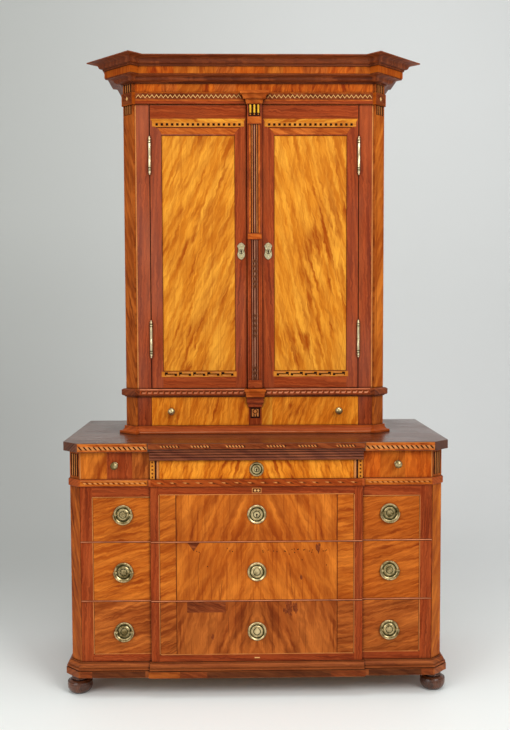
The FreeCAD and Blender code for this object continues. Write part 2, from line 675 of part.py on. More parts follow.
def keyhole_rose(name, radius, x, y, z, covered=False):
    """A round keyhole plate; a covered one also carries the pin that its cover turns on."""
    rose = cut(f"{name}_plate", stamped_disc(f"{name}_disc", radius), keyhole(f"{name}_keyhole"))
    if covered:
        stem = rod(f"{name}_stem", "Size.bail_pin", "2 * Size.plate_rim", ("0", "Size.cover_set", "0"),
                   Vector(0, 0, 1))
        rose = fuse(name, [rose, stem])
    return face_front(rose, (x, y, z))


def bail_plate(name, x, y, z):
    """A round handle plate with two drilled studs."""
    disc = stamped_disc(f"{name}_disc", "Size.plate_radius")
    studs, holes = [], []
    for hand, sign in (("left", "-"), ("right", "")):
        set_out = f"{sign}Size.stud_set"
        studs.append(rod(f"{name}_stud_{hand}", "Size.stud", "Size.stud_height", (set_out, "0", "0"),
                         Vector(0, 0, 1)))
        holes.append(rod(f"{name}_hole_{hand}", "Size.bail_pin + Size.pin_gap", "4 * Size.stud",
                         (f"{set_out} - 2 * Size.stud", "0", "Size.pin_height"), Vector(1, 0, 0)))
    return face_front(cut(name, fuse(f"{name}_studded", [disc, *studs]), holes), (x, y, z))


def bail(name, x, y, z):
    """A half-ring handle whose turned-in ends hang in the studs."""
    ring = doc.addObject("Part::Torus", f"{name}_ring")
    ring.setExpression("Radius1", "At.bail_ring")
    ring.setExpression("Radius2", "Size.bail_bar")
    ring.Angle3 = 180
    ring.Placement = FreeCAD.Placement(Vector(), FreeCAD.Rotation(Vector(0, 0, 1), 180))
    place(ring, ("0", "0", "Size.pin_height"))
    parts = [ring]
    reach = "At.bail_ring - Size.stud_set + 1.2 * Size.stud"
    for hand, sign, inwards in (("left", "-", Vector(1, 0, 0)), ("right", "", Vector(-1, 0, 0))):
        end = (f"{sign}At.bail_ring", "0", "Size.pin_height")
        parts.append(ball(f"{name}_knuckle_{hand}", "Size.bail_bar", end))
        parts.append(rod(f"{name}_pin_{hand}", "Size.bail_pin", reach, end, inwards))
    return face_front(fuse(name, parts), (x, y, z))


def keyhole_cover(name, x, y, z):
    """A tongue that hangs from the rose's pin over the keyhole."""
    body = doc.addObject("PartDesign::Body", f"{name}_tongue")
    half, length = "Size.cover_width", "Size.cover_length"
    top = "Size.cover_set + Size.cover_width"
    under = "Size.plate_rim + Size.pin_gap"
    pad(body, [(f"-{half}", "Size.cover_set"), (f"-{half} * 0.8", f"Size.cover_set - {length} * 0.8"),
               ("0", f"Size.cover_set - {length} - {half} * 0.3"),
               (f"{half} * 0.8", f"Size.cover_set - {length} * 0.8"), (half, "Size.cover_set"),
               ("0", top)], under, f"{under} + Size.cover_board")
    hole = rod(f"{name}_hole", "Size.bail_pin + Size.pin_gap", "4 * Size.plate_rim",
               ("0", "Size.cover_set", "0"), Vector(0, 0, 1))
    return face_front(cut(name, body, [hole]), (x, y, z))


def knob(name, x, y, z):
    """A turned pull on a small flange."""
    flange = "Size.knob_length * 0.1"
    throat = "Size.knob_length * 0.42"
    widest = "Size.knob_length * 0.72"
    crown_of_knob = swell("Size.knob_length - Size.knob_length * 0.72", "Size.knob_head")
    piece = turned(name, [
        ("0", "0"), ("Size.knob_base", "0"), ("Size.knob_base", flange), ("Size.knob_neck", f"{flange} * 2"),
        ("Size.knob_neck", throat),
        ("Size.knob_head", widest, crown_of_knob),
        ("0", "Size.knob_length")])
    return face_front(piece, (x, y, z))


def lock_case(name, x, y, top, height="Size.lock_height"):
    """A lock screwed behind a front, under its top edge."""
    return board(name, (f"{x} - Size.lock_width / 2", f"{x} + Size.lock_width / 2"),
                 (y, f"{y} + Size.lock_depth"), (f"{top} - {height}", top))


box_right = "At.open_half - Size.box_gap"


def long_drawer(name, low, high, covered):
    """A breakfront drawer over the full width, with its brasses."""
    foot, lid = f"{low} + Size.slide_gap", f"{high} - Size.box_headroom"
    end = "At.open_half - Size.front_gap / 2"
    front_z = (f"{low} + Size.front_gap / 2", f"{high} - Size.front_gap / 2")
    node(group(f"{name}_front", [
        board(f"{name}_board", (f"-({end})", end), ("At.front", "At.front_back"), front_z),
        board(f"{name}_break", ("-Size.break_half", "Size.break_half"), ("At.centre", "At.front"), front_z)]))
    node(drawer_box(name, (f"-({box_right})", box_right), "At.front_back", (foot, lid), "Size.box_depth"))
    middle = f"({low} + {high}) / 2"
    fittings = [keyhole_rose(f"{name}_rose", "Size.plate_radius", "0", "At.centre", middle, covered),
                lock_case(f"{name}_lock", "0", "At.front_back", f"{lid} - Size.front_gap")]
    for hand, sign in (("left", "-"), ("right", "")):
        fittings.append(bail_plate(f"{name}_plate_{hand}", f"{sign}At.plate_x", "At.front", middle))
    node(group(f"{name}_fittings", fittings))
    for hand, sign in (("left", "-"), ("right", "")):
        node(bail(f"{name}_bail_{hand}", f"{sign}At.plate_x", "At.front", middle))
    if covered:
        node(keyhole_cover(f"{name}_keyhole_cover", "0", "At.centre", middle))


long_drawer("top_drawer", "At.high", "At.rope", False)
long_drawer("middle_drawer", "At.middle", "At.high", True)
long_drawer("bottom_drawer", "At.carcass", "At.middle", True)

small_lid = "At.slab_low - Size.small_head"
small_foot = "At.frieze + Size.slide_gap"
small_x = ("Size.break_half + Size.box_gap", box_right)
frieze_middle = "(At.frieze + At.slab_low) / 2"
for hand, sign in (("left", "-"), ("right", "")):
    drawer_name = f"frieze_drawer_{hand}"
    front_x = ["Size.break_half + Size.front_gap / 2", "At.open_half - Size.front_gap / 2"]
    box_x = list(small_x)
    if sign:
        front_x = [f"-({edge})" for edge in reversed(front_x)]
        box_x = [f"-({edge})" for edge in reversed(box_x)]
    node(board(f"{drawer_name}_front", front_x, ("At.front", "At.front_back"),
               ("At.frieze + Size.front_gap / 2", "At.slab_low - Size.front_gap / 2")))
    node(drawer_box(drawer_name, box_x, "At.front_back", (small_foot, small_lid), "Size.box_depth"))
    node(knob(f"{drawer_name}_knob", f"{sign}(Size.break_half + At.open_half) / 2", "At.front",
              frieze_middle))

centre_half = "At.divider_in - Size.front_gap / 2"
centre_box = "At.divider_in - Size.box_gap"
node(board("frieze_drawer_centre_front", (f"-({centre_half})", centre_half), ("At.centre", "At.front_back"),
           ("At.frieze + Size.front_gap / 2", "At.reed - Size.front_gap / 2")))
node(drawer_box("frieze_drawer_centre", (f"-({centre_box})", centre_box), "At.front_back",
                (small_foot, "At.reed - Size.small_head"), "Size.box_depth"))
node(group("frieze_drawer_centre_fittings", [
    keyhole_rose("frieze_rose", "Size.rose_small", "0", "At.centre", "(At.frieze + At.reed) / 2"),
    lock_case("frieze_lock", "0", "At.front_back", "At.reed - Size.small_head - Size.front_gap",
              "Size.small_lock")]))

upper_end = "At.door_half - Size.front_gap / 2"
upper_drawer_heights = ("At.upper_low + Size.front_gap / 2", "At.ledge - Size.front_gap / 2")
console_tiers = []
for tier, narrower, rise, top, foot in ((1, "0", "1", 0, 0.64), (2, "Size.pier * 0.5", "1.4", 0.64, 1)):
    tier_heights = [f"{upper_drawer_heights[1]} - {share} * Size.console_drop" for share in (foot, top)]
    console_tiers.append(board(f"console_tier_{tier}",
                               (f"-(Size.console_half - {narrower})", f"Size.console_half - {narrower}"),
                               (f"At.upper_front - Size.cap_depth / {rise}", "At.upper_front"), tier_heights))
upper_front_board = board("upper_front_board", (f"-({upper_end})", upper_end), front_boards_y,
                          upper_drawer_heights)
node(group("upper_drawer_front", [upper_front_board, *console_tiers]))
upper_box = "At.door_half - Size.box_gap"
node(drawer_box("upper_drawer", (f"-({upper_box})", upper_box), "At.stile_back",
                ("At.upper_low + Size.slide_gap", "At.ledge - Size.small_head"),
                f"({upper_back_y}) - At.stile_back - Size.box_headroom"))
upper_knob_z = "(At.upper_low + At.ledge) / 2"
node(group("upper_drawer_knobs", [
    knob(f"upper_knob_{hand}", f"{sign}(At.door_half - Size.knob_inset)", "At.upper_front", upper_knob_z)
    for hand, sign in (("left", "-"), ("right", ""))]))

# Doors

door_low, door_high = "At.door + Size.door_gap", "At.head - Size.door_gap"
door_y = ("At.door_front", "At.door_front + Size.door_board")
hinge_heights = {"upper": "At.head - Size.hinge_set", "lower": "At.door + Size.hinge_set"}


def hinge_half(name, sign, middle, moving):
    """One half of a barrel hinge: a knuckle with its leaf and two bead finials, and the pin or its bore."""
    way = "+" if moving else "-"
    length = "Size.hinge_length / 2 - Size.pin_gap"
    radius = "Size.hinge_barrel"
    near = f"{middle} {way} Size.pin_gap"
    far = f"{middle} {way} Size.hinge_length / 2"
    low, high = (near, far) if moving else (far, near)
    axis_x, axis_y = f"{sign}At.hinge_x", "At.hinge_y"
    edge = "At.door_edge" if moving else "At.door_half - Size.hinge_leaf"
    leaf_x = (edge, f"{edge} + Size.hinge_leaf")
    if sign:
        leaf_x = (f"-({leaf_x[1]})", f"-({leaf_x[0]})")
    parts = [rod(f"{name}_knuckle", radius, length, (axis_x, axis_y, low), Vector(0, 0, 1)),
             board(f"{name}_leaf", leaf_x, (axis_y, "At.upper_front + Size.leaf_depth"), (low, high)),
             ball(f"{name}_bead", radius, (axis_x, axis_y, f"{far} {way} {radius} * 0.6")),
             ball(f"{name}_tip", f"{radius} * 0.7", (axis_x, axis_y, f"{far} {way} {radius} * 1.9"))]
    pin_length = "Size.hinge_length * 0.4"
    if moving:
        bore = rod(f"{name}_bore", "Size.hinge_bore", f"{pin_length} + Size.hinge_pin",
                   (axis_x, axis_y, middle), Vector(0, 0, 1))
        return cut(name, fuse(f"{name}_solid", parts), [bore])
    parts.append(rod(f"{name}_pin", "Size.hinge_pin", f"{pin_length} + {length} / 2",
                     (axis_x, axis_y, f"{middle} - {length} / 2"), Vector(0, 0, 1)))
    return fuse(name, parts)


def escutcheon(name, x, z):
    """A shield-shaped keyhole plate."""
    half, tall = "Size.shield_half", "Size.shield_height"
    waist = f"{half} * 0.62"
    shield = doc.addObject("PartDesign::Body", f"{name}_shield")
    right = [("0", f"-{tall} / 2", swell(f"{half} * 0.95", f"{tall} * 0.3")),
             (f"{half} * 0.95", f"-{tall} * 0.2"), (waist, f"{tall} * 0.12"), (half, f"{tall} * 0.3"),
             (f"{half} * 0.5", f"{tall} * 0.44")]
    left = [(f"-({x_right})", y_right) for x_right, y_right in [point[:2] for point in reversed(right[1:])]]
    left[-1] = (*left[-1], right[0][2])
    pad(shield, [*right, ("0", f"{tall} / 2"), *left], "0", "Size.shield_board")
    return face_front(cut(name, shield, keyhole(f"{name}_keyhole")), (x, "At.door_front", z))


def door(hand, sign, edges, panel_edges):
    """Frame, panel and brasses of one door."""
    name = f"door_{hand}"
    (left, right), (panel_left, panel_right) = edges, panel_edges
    panel_low, panel_high = f"{door_low} + Size.bottom_rail", f"{door_high} - Size.top_rail"
    node(group(f"{name}_frame", [
        board(f"{name}_stile_left", (left, panel_left), door_y, (door_low, door_high)),
        board(f"{name}_stile_right", (panel_right, right), door_y, (door_low, door_high)),
        board(f"{name}_rail_top", (panel_left, panel_right), door_y, (panel_high, door_high)),
        board(f"{name}_rail_bottom", (panel_left, panel_right), door_y, (door_low, panel_low))]))
    panel_front = "At.door_front + Size.panel_sink"
    node(board(f"{name}_panel", (panel_left, panel_right), (panel_front, f"{panel_front} + Size.panel_board"),
               (panel_low, panel_high)))
    brasses = [hinge_half(f"{name}_hinge_{level}", sign, middle, True)
               for level, middle in hinge_heights.items()]
    shield_z = "At.door + Size.shield_rise"
    brasses.append(escutcheon(f"{name}_escutcheon", f"{sign}Size.shield_set", shield_z))
    if hand == "right":
        brasses.append(lock_case(f"{name}_lock", "Size.shield_set - Size.pilaster_half / 2", door_y[1],
                                 f"{shield_z} + Size.lock_height / 2"))
    node(group(f"{name}_brasses", brasses))


panel_outer = "At.door_edge - Size.door_stile"
door("left", "-", ("-At.door_edge", "-(Size.pilaster_half + Size.door_gap)"),
     (f"-({panel_outer})", "-Size.panel_inner"))
door("right", "", ("-Size.pilaster_half", "At.door_edge"), ("Size.panel_inner", panel_outer))

hinge_fixed = []
for hand, sign in (("left", "-"), ("right", "")):
    for level, middle in hinge_heights.items():
        hinge_fixed.append(hinge_half(f"frame_hinge_{hand}_{level}", sign, middle, False))
node(group("hinge_frame_halves", hinge_fixed))

reed_front = "At.door_front - Size.pilaster_proud"
channel_floor, channel_half = f"{reed_front} + Size.channel", "3 * Size.reed_half + 2 * Size.reed_edge"
reed_curve = swell("Size.reed_half * 0.9", "Size.reed_half")
bead_curve = swell("Size.bead_half * 0.7", "Size.bead_half")
bead_inside = "Size.pilaster_half - 2 * Size.bead_half"
shaft_points = [("-Size.pilaster_half", reed_front, bead_curve), (f"-({bead_inside})", reed_front),
                (f"-({channel_half})", reed_front), (f"-({channel_half})", channel_floor)]
for reed_index in (-1, 0, 1):
    reed_x = f"{reed_index} * (2 * Size.reed_half + Size.reed_edge)"
    shaft_points += [(f"{reed_x} - Size.reed_half", channel_floor, reed_curve),
                     (f"{reed_x} + Size.reed_half", channel_floor)]
shaft_points += [(channel_half, channel_floor), (channel_half, reed_front),
                 (bead_inside, reed_front, bead_curve), ("Size.pilaster_half", reed_front),
                 ("Size.pilaster_half", "At.door_front"), ("-Size.pilaster_half", "At.door_front")]
shaft = outline_board("pilaster_shaft", shaft_points, door_low, door_high)
block_heights = {
    "ring": (f"{door_high} - Size.neck_drop", f"{door_high} - Size.neck_drop + Size.ring_height"),
    "waist": ("At.door + Size.waist_rise", "At.door + Size.waist_rise + Size.waist_block"),
    "foot": (door_low, f"{door_low} + Size.foot_of_shaft"),
}
blocks = [board(f"pilaster_{part}", ("-Size.pilaster_half", "Size.pilaster_half"),
                ("At.door_front - Size.block_proud", "At.door_front"), heights)
          for part, heights in block_heights.items()]
node(fuse("centre_pilaster", [shaft, *blocks]))

# Recompute, test and write
doc.recompute()
failed = [item.Name for item in doc.Objects if "Invalid" in item.State or "Error" in item.State]
failed += [item.Name for item in nodes if item.Shape.isNull() or not item.Shape.isValid()]
if failed:
    raise RuntimeError(f"objects that failed: {failed}")
os.makedirs("parts", exist_ok=True)
for item in nodes:
    item.Shape.exportStep(f"parts/{item.Label}.step")
print(len(nodes), "nodes,", sum(len(item.Shape.Solids) for item in nodes), "solids")
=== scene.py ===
"""Dresses the cabinet on its chest of drawers: woods, inlay, brasses, studio and camera."""

import logging
import math
import random
from dataclasses import dataclass, field
from enum import Enum
from typing import ClassVar, Optional, Sequence, Union

import bpy
from mathutils import Matrix, Vector


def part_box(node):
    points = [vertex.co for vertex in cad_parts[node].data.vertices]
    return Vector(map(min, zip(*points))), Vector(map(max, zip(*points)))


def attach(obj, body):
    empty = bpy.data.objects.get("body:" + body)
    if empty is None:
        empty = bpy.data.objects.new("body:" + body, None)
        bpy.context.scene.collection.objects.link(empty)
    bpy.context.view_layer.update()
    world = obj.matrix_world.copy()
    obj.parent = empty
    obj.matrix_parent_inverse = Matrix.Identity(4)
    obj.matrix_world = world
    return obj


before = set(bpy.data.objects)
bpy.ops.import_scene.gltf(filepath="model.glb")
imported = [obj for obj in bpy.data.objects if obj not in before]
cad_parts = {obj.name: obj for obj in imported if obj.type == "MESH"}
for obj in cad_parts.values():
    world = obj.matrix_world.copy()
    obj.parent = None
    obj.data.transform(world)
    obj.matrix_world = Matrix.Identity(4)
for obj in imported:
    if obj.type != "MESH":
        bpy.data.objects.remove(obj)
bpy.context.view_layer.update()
LOG = logging.getLogger("cabinet")

MM = 0.001
SIGNS = {"left": -1, "right": 1}
LYING = 0.0
STANDING = 90.0
LOG_REACH = 40.0
RAY_START = 1000.0
CORNER_RAY = 300.0
FLUTES = (-16.5, -5.5, 5.5, 16.5)
LANDS = (-11.0, 0.0, 11.0)
LAND_HALF = 1.9
FLUTE_HALF = 3.3
FLUTE_FILL = 2.3
HINGE_AXIS = (369.5, -92.3)
HINGE_MIDDLES = (1213.0, 1860.0)
HINGE_RINGS = (44.0, 52.0)
Socket = Union[bpy.types.NodeSocket, float]
Feeds = dict[Union[str, int], object]
Flat = tuple[float, float]
Spot = tuple[float, float, float]
Tint = tuple[int, int, int]


class Rise:
    """How far thin pieces stand out of their faces, in millimetres, from the lowest layer up."""

    SKIN = 0.05
    FLUSH = 0.1
    FILM = 0.15
    GROUND = 0.2
    BLOCK = 0.25
    VENEER = 0.3
    UNDER = 0.35
    LAID = 0.4
    LINE = 0.45
    INLAY = 0.5
    MOTIF = 0.6
    EYE = 0.7
    BADGE = 0.75
    SLIT = 0.8
    GEM = 0.9


@dataclass(frozen=True)
class Layer:
    """Noise stretched along the grain, and the two values between which it eases from 0 to 1."""

    stretch: Spot
    detail: float
    edges: Flat = (0.0, 1.0)
    distortion: float = 0.0


class Figure(Enum):
    """The layers that make up the figure of the woods, the marks of age and the patches of a painted sheen.
    """

    WAVE = Layer((40.0, 55.0, 55.0), 2.0)
    BROAD = Layer((0.5, 0.5, 0.5), 2.0, (0.3, 0.56), 0.5)
    CLUSTER = Layer((2.4, 6.0, 6.0), 1.0, (0.38, 0.62))
    FLAME = Layer((1.0, 1.0, 1.0), 2.0, (0.43, 0.68), 0.7)
    WISP = Layer((1.6, 2.7, 2.7), 2.0, (0.48, 0.8), 0.4)
    GLOW = Layer((0.8, 1.3, 1.9), 3.0, (0.46, 0.7), 0.5)
    MOTTLE = Layer((1.5, 1.9, 1.9), 3.0, (0.4, 0.62), 0.4)
    FIBRE = Layer((8.0, 300.0, 300.0), 4.0, (0.3, 0.72))
    SCORE = Layer((3.0, 110.0, 110.0), 2.0, (0.54, 0.7))
    PORE = Layer((45.0, 1100.0, 1100.0), 1.0, (0.58, 0.74))
    SPECK = Layer((900.0, 900.0, 900.0), 2.0, (0.62, 0.78))
    PAINTED_SHEEN = Layer((5.0, 5.0, 1.6), 2.0, (0.48, 0.7))


WAVE_SWAY = 0.018
WISP_SHARE = 0.6
CLUSTER_SPAN = 0.75
CLUSTER_FLOOR = 0.35
GLOW_SHARE = 0.8
STREAK_SHARE = 0.22
STREAK_ROUGHNESS = 0.12
MOTTLE_LIGHT = 0.3
MOTTLE_DARK = 0.24
FIBRE_HEIGHT = 0.4
CLOUD_DETAIL = 4.0
CLOUD_EDGES = (0.35, 0.7)


def linear(tint: Tint) -> tuple[float, float, float, float]:
    """Turn a screen colour into the linear colour that shaders take.

    Args:
        tint: Red, green and blue from 0 to 255.

    Returns:
        Linear red, green, blue and a full alpha.
    """
    shares = [channel / 255 for channel in tint]
    curved = [share / 12.92 if share <= 0.04045 else ((share + 0.055) / 1.055) ** 2.4 for share in shares]
    return (*curved, 1.0)


def extent(node: str) -> tuple[Vector, Vector]:
    """Give a CAD node's lowest and highest corners in millimetres.

    Args:
        node: Name of the node.

    Returns:
        The two corners.
    """
    low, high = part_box(node)
    return Vector(low) / MM, Vector(high) / MM


def span(sign: int, one: float, other: float) -> tuple[float, ...]:
    """Give two distances from the middle as the left and right ends on one side."""
    return tuple(sorted((sign * one, sign * other)))


class NodeNet:
    """Adds nodes to one tree and joins their sockets."""

    def __init__(self, tree: bpy.types.NodeTree) -> None:
        """Work on a tree."""
        self.tree = tree

    def node(self, kind: str, feeds: Optional[Feeds] = None, **settings: object) -> bpy.types.Node:
        """Add a node.

        Args:
            kind: Blender's name of the node type.
            feeds: What goes into its inputs.
            settings: Attributes to set on the node.

        Returns:
            The new node.
        """
        made = self.tree.nodes.new(kind)
        for name, setting in settings.items():
            setattr(made, name, setting)
        self.feed(made, feeds or {})
        return made

    def feed(self, node: bpy.types.Node, feeds: Feeds) -> None:
        """Feed a node's inputs, by name or number: sockets are joined and plain values are set."""
        for name, source in feeds.items():
            if isinstance(source, bpy.types.NodeSocket):
                self.tree.links.new(source, node.inputs[name])
            else:
                node.inputs[name].default_value = source

    def math(self, operation: str, first: Socket, second: Socket = 0.0) -> bpy.types.NodeSocket:
        """Combine two numbers by one of Blender's operations."""
        return self.node("ShaderNodeMath", {0: first, 1: second}, operation=operation).outputs[0]

    def times(self, first: Socket, second: Socket) -> bpy.types.NodeSocket:
        """Multiply two numbers."""
        return self.math("MULTIPLY", first, second)

    def vector_math(self, operation: str, first: object, second: object) -> bpy.types.NodeSocket:
        """Combine two vectors by one of Blender's operations."""
        return self.node("ShaderNodeVectorMath", {0: first, 1: second}, operation=operation).outputs[0]

    def split(self, vector: bpy.types.NodeSocket) -> list[bpy.types.NodeSocket]:
        """Give the X, Y and Z of a vector."""
        return list(self.node("ShaderNodeSeparateXYZ", {0: vector}).outputs)

    def combine(self, *parts: Socket) -> bpy.types.NodeSocket:
        """Make a vector of its X, Y and Z."""
        return self.node("ShaderNodeCombineXYZ", dict(enumerate(parts))).outputs[0]

    def noise(self, place: bpy.types.NodeSocket, figure: Figure) -> bpy.types.NodeSocket:
        """Read the plain noise of a layer.

        Args:
            place: Where to read it.
            figure: The layer.

        Returns:
            The noise value's socket.
        """
        layer = figure.value
        stretched = self.vector_math("MULTIPLY", place, layer.stretch)
        feeds = {"Vector": stretched, "Scale": 1.0, "Detail": layer.detail, "Distortion": layer.distortion}
        return self.node("ShaderNodeTexNoise", feeds).outputs["Fac"]

    def eased(self, place: bpy.types.NodeSocket, figure: Figure) -> bpy.types.NodeSocket:
        """Read a layer, eased between its two values."""
        return self.ramp(self.noise(place, figure), *figure.value.edges)

    def ramp(self, value: Socket, low: float, high: float) -> bpy.types.NodeSocket:
        """Ease a value from 0 at low to 1 at high."""
        feeds = {"Value": value, "From Min": low, "From Max": high}
        return self.node("ShaderNodeMapRange", feeds, interpolation_type="SMOOTHSTEP").outputs["Result"]

    def mix(self, share: Socket, first: object, second: object, mode: str = "MIX") -> bpy.types.NodeSocket:
        """Mix two colours.

        Args:
            share: How much of the second colour shows.
            first: First colour or socket.
            second: Second colour or socket.
            mode: Blender's name of the way to mix.

        Returns:
            The mixed colour's socket.
        """
        feeds = {0: share, 6: first, 7: second}
        return self.node("ShaderNodeMix", feeds, data_type="RGBA", blend_type=mode).outputs[2]

    def object_place(self) -> bpy.types.NodeSocket:
        """Give the place on the piece in its own coordinates."""
        return self.node("ShaderNodeTexCoord").outputs["Object"]


def new_group(name: str, takes: dict[str, str],
              gives: dict[str, str]) -> tuple[NodeNet, bpy.types.Node, bpy.types.Node]:
    """Start a shader node group with named sockets.

    Args:
        name: The group's name.
        takes: Input names with their socket kinds.
        gives: Output names with their socket kinds.

    Returns:
        The net of the group, its input node and its output node.
    """
    tree = bpy.data.node_groups.new(name, "ShaderNodeTree")
    for direction, sockets in (("INPUT", takes), ("OUTPUT", gives)):
        for socket, kind in sockets.items():
            tree.interface.new_socket(name=socket, in_out=direction, socket_type=f"NodeSocket{kind}")
    net = NodeNet(tree)
    return net, net.node("NodeGroupInput"), net.node("NodeGroupOutput")


def timber_group() -> bpy.types.NodeTree:
    """Build the figure of polished wood: broad tone, flames, fibres and pores.

    Returns:
        The node group.
    """
    net, source, result = new_group(
        "Timber figure",
        {"Grain": "Vector", "Light": "Color", "Middle": "Color", "Dark": "Color", "Flame": "Float",
         "Lean": "Float", "Stretch": "Vector", "Pores": "Float"},
        {"Colour": "Color", "Roughness": "Float", "Height": "Float"})
    given = source.outputs
    grain = given["Grain"]
    wave = net.math("SUBTRACT", net.noise(grain, Figure.WAVE), 0.5)
    swayed = net.vector_math("ADD", grain, net.combine(0.0, net.times(wave, WAVE_SWAY), 0.0))
    feeds = {"Vector": swayed, "Angle": given["Lean"]}
    turn = net.node("ShaderNodeVectorRotate", feeds, rotation_type="Z_AXIS")
    flow = net.vector_math("MULTIPLY", turn.outputs[0], given["Stretch"])
    cluster = net.math("ADD", net.times(net.eased(grain, Figure.CLUSTER), CLUSTER_SPAN), CLUSTER_FLOOR)
    wisp = net.times(net.eased(flow, Figure.WISP), WISP_SHARE)
    shade = net.times(net.math("MAXIMUM", net.eased(flow, Figure.FLAME), wisp), cluster)
    fibre = net.noise(grain, Figure.FIBRE)
    streak = net.ramp(fibre, *Figure.FIBRE.value.edges)
    pore = net.eased(grain, Figure.PORE)
    scored = net.math("MAXIMUM", net.eased(grain, Figure.SCORE), pore)
    unlit = net.math("SUBTRACT", 1.0, net.times(net.eased(flow, Figure.GLOW), GLOW_SHARE))
    mottle = net.eased(flow, Figure.MOTTLE)
    colour = net.mix(net.times(net.eased(flow, Figure.BROAD), unlit), given["Light"], given["Middle"])
    for share, amount, tint in ((shade, given["Flame"], "Dark"), (streak, STREAK_SHARE, "Dark"),
                                (mottle, MOTTLE_LIGHT, "Light"),
                                (net.math("SUBTRACT", 1.0, mottle), MOTTLE_DARK, "Dark"),
                                (scored, given["Pores"], "Dark")):
        colour = net.mix(net.times(share, amount), colour, given[tint])
    height = net.math("SUBTRACT", net.times(fibre, FIBRE_HEIGHT), pore)
    net.feed(result, {"Colour": colour, "Roughness": net.times(streak, STREAK_ROUGHNESS), "Height": height})
    return net.tree


def patina_and_sheen_group() -> bpy.types.NodeTree:
    """Build the blotches that age leaves on polish and brass, and the patches of a painted sheen.

    Returns:
        The node group.
    """
    net, source, result = new_group("Patina and sheen", {"Place": "Vector", "Size": "Float"},
                                    {"Cloud": "Float", "Speck": "Float", "Painted sheen": "Float"})
    place, size = source.outputs["Place"], source.outputs["Size"]
    cloud = net.node("ShaderNodeTexNoise", {"Vector": place, "Scale": size, "Detail": CLOUD_DETAIL})
    net.feed(result, {"Cloud": net.ramp(cloud.outputs["Fac"], *CLOUD_EDGES),
                      "Speck": net.eased(place, Figure.SPECK), "Painted sheen": net.eased(place, Figure.PAINTED_SHEEN)})
    return net.tree


class Grain(Enum):
    """Which way the wood of a piece runs."""

    UPRIGHT = "upright"
    LEVEL = "level"
    VENEER = "veneer"


@dataclass(frozen=True)
class Finish:
    """A named surface finish; its material is built once."""

    name: str
    made: ClassVar[dict[str, bpy.types.Material]] = {}
    groups: ClassVar[dict[str, bpy.types.NodeTree]] = {}

    @property
    def material(self) -> bpy.types.Material:
        """The finish's material, built on its first use."""
        if self.name not in Finish.made:
            made = bpy.data.materials.new(self.name)
            made.use_nodes = True
            Finish.made[self.name] = made
            self.dress(NodeNet(made.node_tree), made.node_tree.nodes["Principled BSDF"])
        return Finish.made[self.name]

    def dress(self, net: NodeNet, surface: bpy.types.Node) -> None:
        """Build the nodes that feed the surface shader."""

    def placed(self, net: NodeNet, name: str, feeds: Feeds) -> bpy.types.NodeOutputs:
        """Place a shared group in the material.

        Args:
            net: The material's net.
            name: Which group: timber or patina.
            feeds: What goes into the group.

        Returns:
            The outputs of the group's node.
        """
        if name not in Finish.groups:
            Finish.groups[name] = {"timber": timber_group, "patina": patina_and_sheen_group}[name]()
        return net.node("ShaderNodeGroup", feeds, node_tree=Finish.groups[name]).outputs

    def relief(self, net: NodeNet, surface: bpy.types.Node, height: Socket, strength: float,
               depth: float) -> None:
        """Let a height bend the surface's normals, to a depth in millimetres."""
        feeds = {"Strength": strength, "Distance": depth * MM, "Height": height}
        net.feed(surface, {"Normal": net.node("ShaderNodeBump", feeds).outputs[0]})


